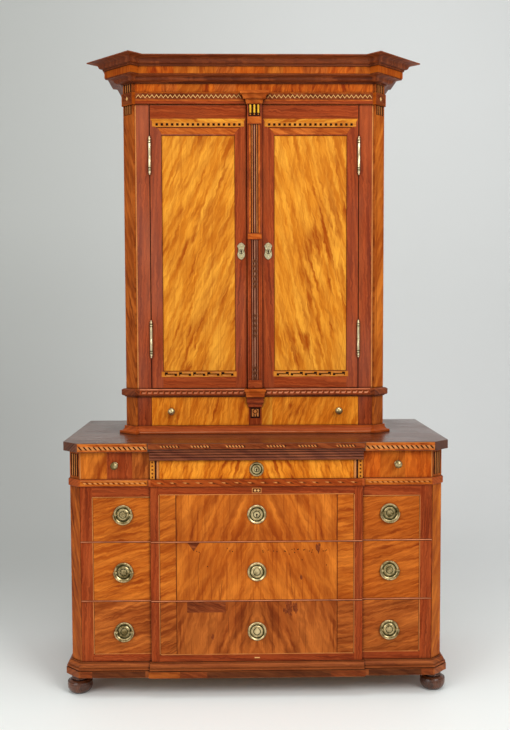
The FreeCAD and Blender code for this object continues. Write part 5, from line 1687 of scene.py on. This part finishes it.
@dataclass
class Door(SubAssembly):
    """One door: frame, golden panel, inlaid lintel and meander."""

    hand: str = "left"
    stiles: Flat = (328.0, 69.0)
    edges: Flat = (367.0, 29.0)
    panel: Flat = (1098.0, 1931.0)
    panel_leans: ClassVar[dict[str, float]] = {"left": 90.0, "right": 99.0}
    panel_line: float = 1.8
    frame_look: float = 1960.0
    top_rail: Flat = (1990.0, 2034.0)
    low_rail: Flat = (1039.0, 1077.0)
    lintel_outline: ClassVar[list[Flat]] = [(-350, 1960.5), (-47, 1960.5), (-31, 1989), (-366, 1989)]
    shade_outline: ClassVar[list[Flat]] = [(-326, 1935), (-72, 1935), (-54, 1956), (-340, 1956)]
    shade_line: Flat = (1957.0, 1960.0)
    shade_ends: Flat = (345.0, 50.0)
    dentil: ClassVar[list[Flat]] = slanted(8.5, 8.5, 0)
    dentil_ends: Flat = (360.0, 36.0)
    dentil_ground: Flat = (1961.5, 1976.5)
    dentil_pitch: float = 18.2
    key: ClassVar[list[Flat]] = step_key(43.0, 13.0, 3.0)
    key_bar: ClassVar[list[Flat]] = slanted(25.0, 3.0, 0)
    key_bars: ClassVar[tuple[Flat, ...]] = ((8.0, 5.2), (-4.0, -5.4))
    key_ends: Flat = (334.0, 66.0)
    key_ground: Flat = (1078.0, 1097.0)
    key_level: float = 1088.0
    key_pitch: float = 50.5
    shield: Flat = (48.0, 1525.0)
    shield_look: float = 12.0
    bow_up: float = 20.0
    bow_half: float = 5.0
    bow_ring: Spot = (4.0, 2.2, 1.2)
    bow_knot: Flat = (2.6, 1.6)
    bow_drop: Flat = (2.6, 1.4)
    leaf_half: float = 8.5
    leaf_ups: Flat = (9.0, -9.0)
    leaf: Flat = (2.4, 1.2)
    leaf_tall: float = 2.0
    dish_drop: float = 2.0
    dish_ring: Spot = (8.0, 1.6, 0.3)
    eye: float = 3.6
    slit: Flat = (1.9, 10.0)

    def __post_init__(self) -> None:
        """Take the body and the side."""
        self.body = f"door_{self.hand}"
        self.sign = SIGNS[self.hand]

    def dress(self) -> None:
        """Finish the door's CAD nodes."""
        self.finish(Wood.UPRIGHT_RED.value, f"{self.body}_frame")
        self.finish(Wood.OAK.value, f"{self.body}_panel", soft=0.4)
        self.finish(HIGHLIT_BRASS, f"{self.body}_brasses", soft=0.3)

    def mirrored(self, points: Sequence[Flat]) -> list[Flat]:
        """Take an outline of the left door to this door's side."""
        if self.sign < 0:
            return list(points)
        return [(-x, y) for x, y in reversed(points)]

    def build(self) -> None:
        """Lay the panel veneer, the rails, the lintel and the meander, and raise the shield."""
        veneer, banding = MeshDraft(f"{self.body}_veneer"), MeshDraft(f"{self.body}_banding")
        width = span(self.sign, *self.stiles)
        middle = sum(width) / 2
        panel = face_at(f"{self.body}_panel", middle, sum(self.panel) / 2)
        face = face_at(f"{self.body}_frame", middle, self.frame_look)
        veneer.plate(panel, oblong(width, self.panel), Wood.DOOR, self.panel_leans[self.hand], Rise.VENEER,
                     self.sign > 0, log_place(random.Random("doors")))
        veneer.frame_lines(panel, width, self.panel, Wood.TANNED, self.panel_line)
        banding.strip(face, span(self.sign, *self.edges), self.top_rail, Wood.BORDER, LYING, Rise.GROUND)
        banding.strip(face, width, self.low_rail, Wood.BORDER, LYING, Rise.GROUND)
        self.lintel(veneer, banding, face)
        self.meander(veneer, banding, face)
        self.keyhole(banding, face, self.sign * self.shield[0], self.shield[1])
        self.hand_over(satinwood=veneer, mahogany=banding, brass=self.bow())

    def lintel(self, veneer: MeshDraft, banding: MeshDraft, face: Plane) -> None:
        """Lay the golden lintel with its row of dark squares, and the strip under it."""
        veneer.plate(face, self.mirrored(self.lintel_outline), Wood.DOOR, LYING, Rise.VENEER, self.sign > 0)
        ends = span(self.sign, *self.dentil_ends)
        veneer.strip(face, ends, self.dentil_ground, Wood.GOLDEN, LYING, Rise.LAID)
        self.border(banding, face, ends, sum(self.dentil_ground) / 2, self.dentil_pitch, self.dentil,
                    Wood.BLACK)
        veneer.plate(face, self.mirrored(self.shade_outline), Wood.STRIP, LYING, Rise.VENEER)
        banding.strip(face, span(self.sign, *self.shade_ends), self.shade_line, Wood.TANNED, LYING,
                      Rise.UNDER)

    def meander(self, veneer: MeshDraft, banding: MeshDraft, face: Plane) -> None:
        """Lay the running key pattern of the lower rail on its golden ground."""
        ends = span(self.sign, *self.key_ends)
        veneer.strip(face, ends, self.key_ground, Wood.GOLDEN)
        self.border(banding, face, ends, self.key_level, self.key_pitch, self.mirrored(self.key), Wood.BLACK)
        for place in self.key_bars:
            bar = self.mirrored(moved(self.key_bar, *place))
            self.border(veneer, face, ends, self.key_level, self.key_pitch, bar, Wood.PALE)

    def bow(self) -> MeshDraft:
        """Raise the bow, the leaves and the drop of the keyhole shield.

        Returns:
            The piece of brass relief.
        """
        draft = MeshDraft(f"{self.body}_relief")
        x, z = self.sign * self.shield[0], self.shield[1]
        plane = face_at(f"{self.body}_brasses", x, z + self.shield_look)
        for sign in SIGNS.values():
            draft.ring(plane, (x + sign * self.bow_half, z + self.bow_up), *self.bow_ring, HIGHLIT_BRASS, 14)
            for up in self.leaf_ups:
                spot = (x + sign * self.leaf_half, z + up)
                draft.button(plane, spot, *self.leaf, HIGHLIT_BRASS, 8, self.leaf_tall)
        draft.button(plane, (x, z + self.bow_up), *self.bow_knot, HIGHLIT_BRASS, 8)
        draft.button(plane, (x, z - self.bow_up), *self.bow_drop, HIGHLIT_BRASS, 8, self.leaf_tall)
        draft.ring(plane, (x, z - self.dish_drop), *self.dish_ring, DARK_BRASS, 20)
        # Painted shade: the black eye and slit of the shield's keyhole.
        draft.plate(plane, moved(rounded(self.eye, 12), x, z), Wood.BLACK, LYING, Rise.GROUND)
        half, drop = self.slit
        draft.strip(plane, (x - half, x + half), (z - drop, z), Wood.BLACK, STANDING, Rise.BLOCK)
        self.hinge_rings(draft, self.sign, 1)
        return draft


@dataclass
class CentrePilaster(SubAssembly):
    """The reeded pilaster that covers the meeting of the doors, and its fixed capital."""

    body: str = "door_right"
    shaft_look: float = 1700.0
    flat_x: float = 16.0
    flat: Flat = (13.6, 19.8)
    groove_shade: Flat = (12.9, 11.3)
    reed_set: float = 8.2
    reed_radius: float = 1.5
    crown_highlight_half: float = 1.8
    # Each shaft: heights, the wood on its flats, and the painted highlight wood on its reeds.
    shafts: ClassVar[tuple[tuple[Flat, Wood, Wood], ...]] = (
        ((1068.0, 1564.0), Wood.BORDER, Wood.GREY_HIGHLIGHT), ((1588.0, 1967.0), Wood.STRIP, Wood.PALE))
    block_half: float = 24.0
    blocks: ClassVar[tuple[tuple[Flat, Wood], ...]] = (
        ((1970.0, 1993.0), Wood.STRIP), ((1567.0, 1585.0), Wood.STRIP), ((1040.0, 1065.0), Wood.BORDER))
    husks: tuple[Flat, ...] = ((1399.0, 1506.0), (1224.0, 1306.0), (1074.0, 1112.0))
    husk_pitch: float = 18.0
    husk_set: float = 4.6
    husk: Flat = (4.4, 2.4)
    husk_tall: float = 1.9
    neck_look: float = 2015.0
    neck_half: float = 22.0
    neck_heights: Flat = (1997.0, 2036.0)
    neck_reeds: Spot = (-14.0, 0.0, 14.0)
    neck_reed: Flat = (2007.0, 2035.0)
    neck_radius: float = 4.0
    drop_level: float = 2002.0
    drop: Flat = (3.2, 2.0)

    def dress(self) -> None:
        """Finish the pilaster and the capital."""
        self.finish(Wood.UPRIGHT_RED.value, "centre_pilaster", soft=0.6)
        self.finish(Wood.CAP.value, "pilaster_caps", soft=0.6)

    def build(self) -> None:
        """Lay the shaft's lines with painted highlights and shade, the plates of its blocks, the husks and
        the neck's yellow reeds.
        """
        inlay, banding = MeshDraft("pilaster_inlay"), MeshDraft("pilaster_banding")
        crown, side = (face_at("centre_pilaster", x, self.shaft_look) for x in (0, self.flat_x))
        for heights, edge_wood, reed_highlight_wood in self.shafts:
            for sign in SIGNS.values():
                inlay.strip(side, span(sign, *self.flat), heights, edge_wood, STANDING, Rise.GROUND)
                # Painted shade in the grooves, painted highlights on the reeds and down the crown.
                banding.strip(side, span(sign, *self.groove_shade), heights, Wood.BLACK, STANDING, -Rise.GROUND)
                inlay.reed(crown, sign * self.reed_set, heights, self.reed_radius, reed_highlight_wood.value)
            banding.strip(crown, (-self.crown_highlight_half, self.crown_highlight_half), heights, Wood.GREY_HIGHLIGHT, STANDING, Rise.FILM)
        for heights, wood in self.blocks:
            block = face_at("centre_pilaster", 0, sum(heights) / 2)
            inlay.strip(block, (-self.block_half, self.block_half), heights, wood, LYING, Rise.BLOCK)
        for low, high in self.husks:
            count = int((high - low) / self.husk_pitch) + 1
            for sign in SIGNS.values():
                unit = MeshDraft("husk")
                unit.button(crown, (sign * self.husk_set, low), *self.husk, Wood.DUSK.value, 8,
                            self.husk_tall)
                self.repeater.row(banding, unit, count, crown.up * self.husk_pitch)
        self.neck(inlay, banding)
        self.hand_over(satinwood=inlay, mahogany=banding)

    def neck(self, inlay: MeshDraft, banding: MeshDraft) -> None:
        """Raise three yellow reeds with drops on a black ground, a painted shade of the recess, under the
        capital.
        """
        ground = face_at("centre_pilaster", self.flat_x, self.neck_look)
        ends = (-self.neck_half, self.neck_half)
        # Painted shade: the black ground of the neck's recess.
        banding.strip(ground, ends, self.neck_heights, Wood.BLACK, STANDING, Rise.INLAY)
        for x in self.neck_reeds:
            inlay.reed(ground, x, self.neck_reed, self.neck_radius, Wood.YELLOW.value)
            inlay.button(ground, (x, self.drop_level), *self.drop, Wood.GOLDEN.value)


@dataclass
class Cabinet(SubAssembly):
    """The fixed upper case, with its frieze, ledge and cornice."""

    leaf_width: float = 70.0
    leaf_x: float = 100.0
    leaf_woods: ClassVar[tuple[Wood, ...]] = (Wood.LEAF, Wood.LEAF, Wood.LEAF, Wood.STRIP, Wood.FIELD)
    leaf_runs: ClassVar[tuple[tuple[str, float, float, Flat], ...]] = (
        ("frieze_rail", 2095.0, 418.0, (2081.0, 2110.0)), ("cornice_fascia", 2148.0, 370.0, (2136.0, 2159.0)))
    look_x: float = 200.0
    band_half: float = 418.0
    band_look: float = 2065.0
    band_levels: tuple[float, ...] = (2038.5, 2040.5, 2051.0, 2055.0, 2077.0)
    zigzag: ClassVar[list[Flat]] = chevron(16.0, 14.0, 3.4)
    zigzag_ends: Flat = (46.0, 416.0)
    zigzag_level: float = 2066.0
    zigzag_pitch: float = 16.0
    ledge_level: float = 1022.0
    ledge_ends: Flat = (34.0, 412.0)
    ledge_heights: Flat = (1015.2, 1029.8)
    pale_key: ClassVar[list[Flat]] = slanted(15.0, 8.0, 2.0)
    dark_key: ClassVar[list[Flat]] = [(-9, -4), (-6, -4), (-6, 1.6), (6, 1.6), (6, 5), (-9, 5)]
    key_up: float = 0.5
    key_pitch: float = 20.5
    slope_place: Flat = (3.0, 1032.8)
    slope_up: Spot = (0.0, 0.81, 0.587)
    slope_highlight_half: float = 2.4
    base_look: float = 878.0
    base_half: float = 424.0
    base_highlight: Flat = (880.0, 882.6)
    stile_look: Flat = (400.0, 1500.0)
    stile_highlight: Flat = (416.4, 420.6)
    stile_heights: Flat = (1036.0, 2036.0)
    post_middle: Flat = (440.0, -66.5)
    post_flutes: tuple[Flat, ...] = ((2007.0, 2036.0), (2082.0, 2110.0))
    painted_light_half: float = 25.0
    painted_light_look: float = 1500.0
    painted_light_heights: Flat = (1038.0, 2002.0)
    pier_half: float = 26.0
    pier_level: float = 2060.0
    pier_heights: Flat = (2040.0, 2079.0)
    pier_gem: Flat = (12.0, 16.0)

    def dress(self) -> None:
        """Finish the CAD nodes of the upper case."""
        self.finish(Wood.UPRIGHT_RED.value, "upper_sides", "upper_stiles")
        self.finish(Wood.OAK.value, "upper_back", "upper_boards", "shelves", soft=0.5)
        self.finish(Wood.POST.value, "upper_posts")
        self.finish(Wood.BASE.value, "upper_base", soft=0.4)
        self.finish(Wood.LEVEL_BROWN.value, "ledge_moulding", "cornice_bed", "cornice_crown", soft=0.4)
        self.finish(Wood.BAND.value, "frieze_rail", "cornice_fascia")
        self.finish(HIGHLIT_BRASS, "hinge_frame_halves", soft=0.3)

    def build(self) -> None:
        """Lay the inlay of the frieze, fascia, ledge and corners, painted highlights on the base, the ledge's
        slope and the stiles, and the hinges' rings.
        """
        veneer, banding = MeshDraft("cabinet_veneer"), MeshDraft("cabinet_banding")
        for node, level, reach, heights in self.leaf_runs:
            face = face_at(node, self.leaf_x, level)
            self.patches(veneer, face, reach, heights, self.leaf_width, self.leaf_woods)
        self.band(veneer, banding)
        self.ledge(veneer, banding)
        base = face_at("upper_base", self.look_x, self.base_look)
        # Painted highlight: a pale line along the upper base.
        veneer.strip(base, (-self.base_half, self.base_half), self.base_highlight, Wood.WEAR_AND_HIGHLIGHT, LYING, Rise.GROUND)
        x, level = self.stile_look
        for sign in SIGNS.values():
            stile = face_at("upper_stiles", sign * x, level)
            # Painted highlight: a pale strip down the outer edge of each stile.
            veneer.strip(stile, span(sign, *self.stile_highlight), self.stile_heights, Wood.PALE, STANDING)
            self.corner(veneer, banding, sign)
        self.hand_over(satinwood=veneer, mahogany=banding)
        self.back_boards("upper_back")
        rings = MeshDraft("hinge_rings")
        for sign in SIGNS.values():
            self.hinge_rings(rings, sign, -1)
        self.hand_over(brass=rings)

    def band(self, veneer: MeshDraft, banding: MeshDraft) -> None:
        """Lay the zigzag band of the frieze between its borders, with a black painted shadow line under it.
        """
        face = face_at("frieze_rail", self.look_x, self.band_look)
        # The lowest, black strip is a painted shadow line under the band.
        layers = ((banding, Wood.BLACK, Rise.LAID), (banding, Wood.BORDER, Rise.VENEER),
                  (veneer, Wood.STRIP, Rise.VENEER), (banding, Wood.PATCH, Rise.VENEER))
        for (draft, wood, rise), *heights in zip(layers, self.band_levels, self.band_levels[1:]):
            draft.strip(face, (-self.band_half, self.band_half), heights, wood, LYING, rise)
        for sign in SIGNS.values():
            ends = span(sign, *self.zigzag_ends)
            self.border(veneer, face, ends, self.zigzag_level, self.zigzag_pitch, self.zigzag, Wood.CREAM)

    def ledge(self, veneer: MeshDraft, banding: MeshDraft) -> None:
        """Lay the keys of the ledge and a painted highlight on its slope."""
        face = face_at("ledge_moulding", self.look_x, self.ledge_level)
        for sign in SIGNS.values():
            ends = span(sign, *self.ledge_ends)
            veneer.strip(face, ends, self.ledge_heights, Wood.BORDER, LYING, Rise.GROUND)
            for draft, up, key, wood, rise in (
                    (veneer, 0.0, self.pale_key, Wood.WEAR_AND_HIGHLIGHT, Rise.UNDER),
                    (banding, self.key_up, self.dark_key, Wood.TANNED, Rise.INLAY)):
                self.border(draft, face, ends, self.ledge_level + up, self.key_pitch, key, wood, rise)
        # Painted highlight along the ledge's sloped chamfer.
        back, level = self.slope_place
        slope = Plane(Vector((0, face.origin.y + back, level)), Vector((1, 0, 0)), Vector(self.slope_up))
        reach, half = self.ledge_ends[1], self.slope_highlight_half
        veneer.strip(slope, (-reach, reach), (-half, half), Wood.WEAR_AND_HIGHLIGHT, LYING, Rise.GROUND)

    def corner(self, veneer: MeshDraft, banding: MeshDraft, sign: int) -> None:
        """Paint shade and highlights on the flutes, lay the dark band and the diamond of a canted corner, and
        paint light on the right post.
        """
        for heights in self.post_flutes:
            self.flutes(banding, "upper_posts", sign, self.post_middle, heights)
        # Painted light: a lighter veneer strip on the right upper post only.
        if sign > 0:
            painted_light = cant_at("upper_posts", sign, self.post_middle, self.painted_light_look)
            veneer.strip(painted_light, (-self.painted_light_half, self.painted_light_half), self.painted_light_heights, Wood.FIELD, STANDING)
        pier = cant_at("frieze_rail", sign, self.post_middle, self.pier_level)
        banding.strip(pier, (-self.pier_half, self.pier_half), self.pier_heights, Wood.PATCH)
        gem = moved(diamond(*self.pier_gem), 0, self.pier_level)
        veneer.plate(pier, gem, Wood.CREAM, LYING, Rise.INLAY)


@dataclass(frozen=True)
class Lamp:
    """A soft square lamp."""

    name: str
    place: Spot
    aim: Spot
    size: float
    power: float

    def build(self) -> None:
        """Put the lamp in the studio."""
        light = bpy.data.lights.new(self.name, "AREA")
        light.size = self.size
        light.energy = self.power
        made = bpy.data.objects.new(self.name, light)
        made.location = self.place
        made.rotation_euler = (Vector(self.aim) - Vector(self.place)).to_track_quat("-Z", "Y").to_euler()
        bpy.context.scene.collection.objects.link(made)


@dataclass
class Studio:
    """Paper sweep, lamps, sky and camera, in metres."""

    half_width: float = 7.0
    near: float = -7.0
    bend: float = 1.6
    radius: float = 1.4
    bend_steps: int = 12
    top: float = 6.0
    sky: float = 0.36
    eye: Spot = (-0.0629, -3.4213, 1.3191)
    yaw: float = 0.0188
    pitch: float = 0.0598
    roll: float = 0.0032
    focal_pixels: float = 933.0
    picture_pixels: float = 730.0
    sensor: float = 36.0
    lamps: ClassVar[tuple[Lamp, ...]] = (Lamp("Key", (2.6, -3.8, 3.6), (0, 0, 1.1), 2.2, 124),
                                         Lamp("Fill", (-3.0, -3.4, 2.6), (0, 0, 1.1), 2.6, 72),
                                         Lamp("Top", (0, -1.2, 4.8), (0, 0, 0.8), 2.6, 70))

    def build(self) -> None:
        """Build the studio."""
        self.sweep()
        for lamp in self.lamps:
            lamp.build()
        world = bpy.data.worlds.new("Sky")
        bpy.context.scene.world = world
        world.use_nodes = True
        NodeNet(world.node_tree).feed(world.node_tree.nodes["Background"],
                                      {"Color": (1, 1, 1, 1), "Strength": self.sky})
        bpy.context.scene.view_settings.view_transform = "Standard"
        self.camera()

    def sweep(self) -> None:
        """Build the paper: a floor that bends up into a wall."""
        profile = [(self.near, 0.0)]
        for step in range(self.bend_steps + 1):
            turn = math.pi / 2 * step / self.bend_steps
            profile.append((self.bend + self.radius * math.sin(turn), self.radius * (1 - math.cos(turn))))
        profile.append((self.bend + self.radius, self.top))
        points = [(side * self.half_width, y, z) for y, z in profile for side in (-1, 1)]
        faces = [(2 * step, 2 * step + 1, 2 * step + 3, 2 * step + 2) for step in range(len(profile) - 1)]
        mesh = bpy.data.meshes.new("Paper")
        mesh.from_pydata(points, [], faces)
        mesh.materials.append(PAPER.material)
        for face in mesh.polygons:
            face.use_smooth = True
        made = bpy.data.objects.new("Paper", mesh)
        bpy.context.scene.collection.objects.link(made)

    def camera(self) -> None:
        """Set the camera where the fitted view puts it."""
        level = math.cos(self.pitch)
        forward = Vector((math.sin(self.yaw) * level, math.cos(self.yaw) * level, -math.sin(self.pitch)))
        right = Vector((math.cos(self.yaw), -math.sin(self.yaw), 0))
        up = right.cross(forward)
        turned_right = right * math.cos(self.roll) - up * math.sin(self.roll)
        turned_up = right * math.sin(self.roll) + up * math.cos(self.roll)
        made = bpy.data.objects.new("Camera", bpy.data.cameras.new("Camera"))
        made.data.lens = self.focal_pixels / self.picture_pixels * self.sensor
        made.data.sensor_width = self.sensor
        turn = Matrix((turned_right, turned_up, -forward)).transposed()
        made.matrix_world = Matrix.Translation(self.eye) @ turn.to_4x4()
        bpy.context.scene.collection.objects.link(made)
        bpy.context.scene.camera = made


def write_sizes() -> None:
    """Update the view layer."""
    bpy.context.view_layer.update()


def main() -> None:
    """Dress the furniture and set up the studio."""
    logging.basicConfig(level=logging.INFO)
    repeater = Repeater()
    parts = [
        Chest(repeater),
        LongDrawer(repeater, "top_drawer", border_top=True),
        LongDrawer(repeater, "middle_drawer", covered=True, worm_holes=30,
                   knots=((206, -18, 10), (150, -120, 4)),
                   cracks=((-192, -34, 62, -8), (-200, -96, 80, 4), (-118, -128, 70, -6),
                           (110, -70, 110, 10)),
                   repair=((-214, -28), (-194, 0), (-234, 0))),
        LongDrawer(repeater, "bottom_drawer", border_low=True, covered=True, field_wood=Wood.LOW_FIELD,
                   cross_wood=Wood.LOW_CROSS, far_wood=Wood.LOW_CROSS,
                   knots=((108, -24, 20), (130, -20, 12), (-150, -120, 4)),
                   cracks=((-98, -52, 90, 3), (146, -60, 84, -4)),
                   repair=((-237, -36), (-107, -36), (-107, 0), (-237, 0))),
        *(SmallDrawer(repeater, place=place) for place in ("left", "right", "centre")),
        UpperDrawer(repeater),
        *(Door(repeater, hand=hand) for hand in SIGNS),
        CentrePilaster(repeater),
        Cabinet(repeater),
    ]
    bpy.context.view_layer.update()
    for part in parts:
        part.build()
        part.dress()
    Studio().build()
    write_sizes()


if __name__ == "__main__":
    main()
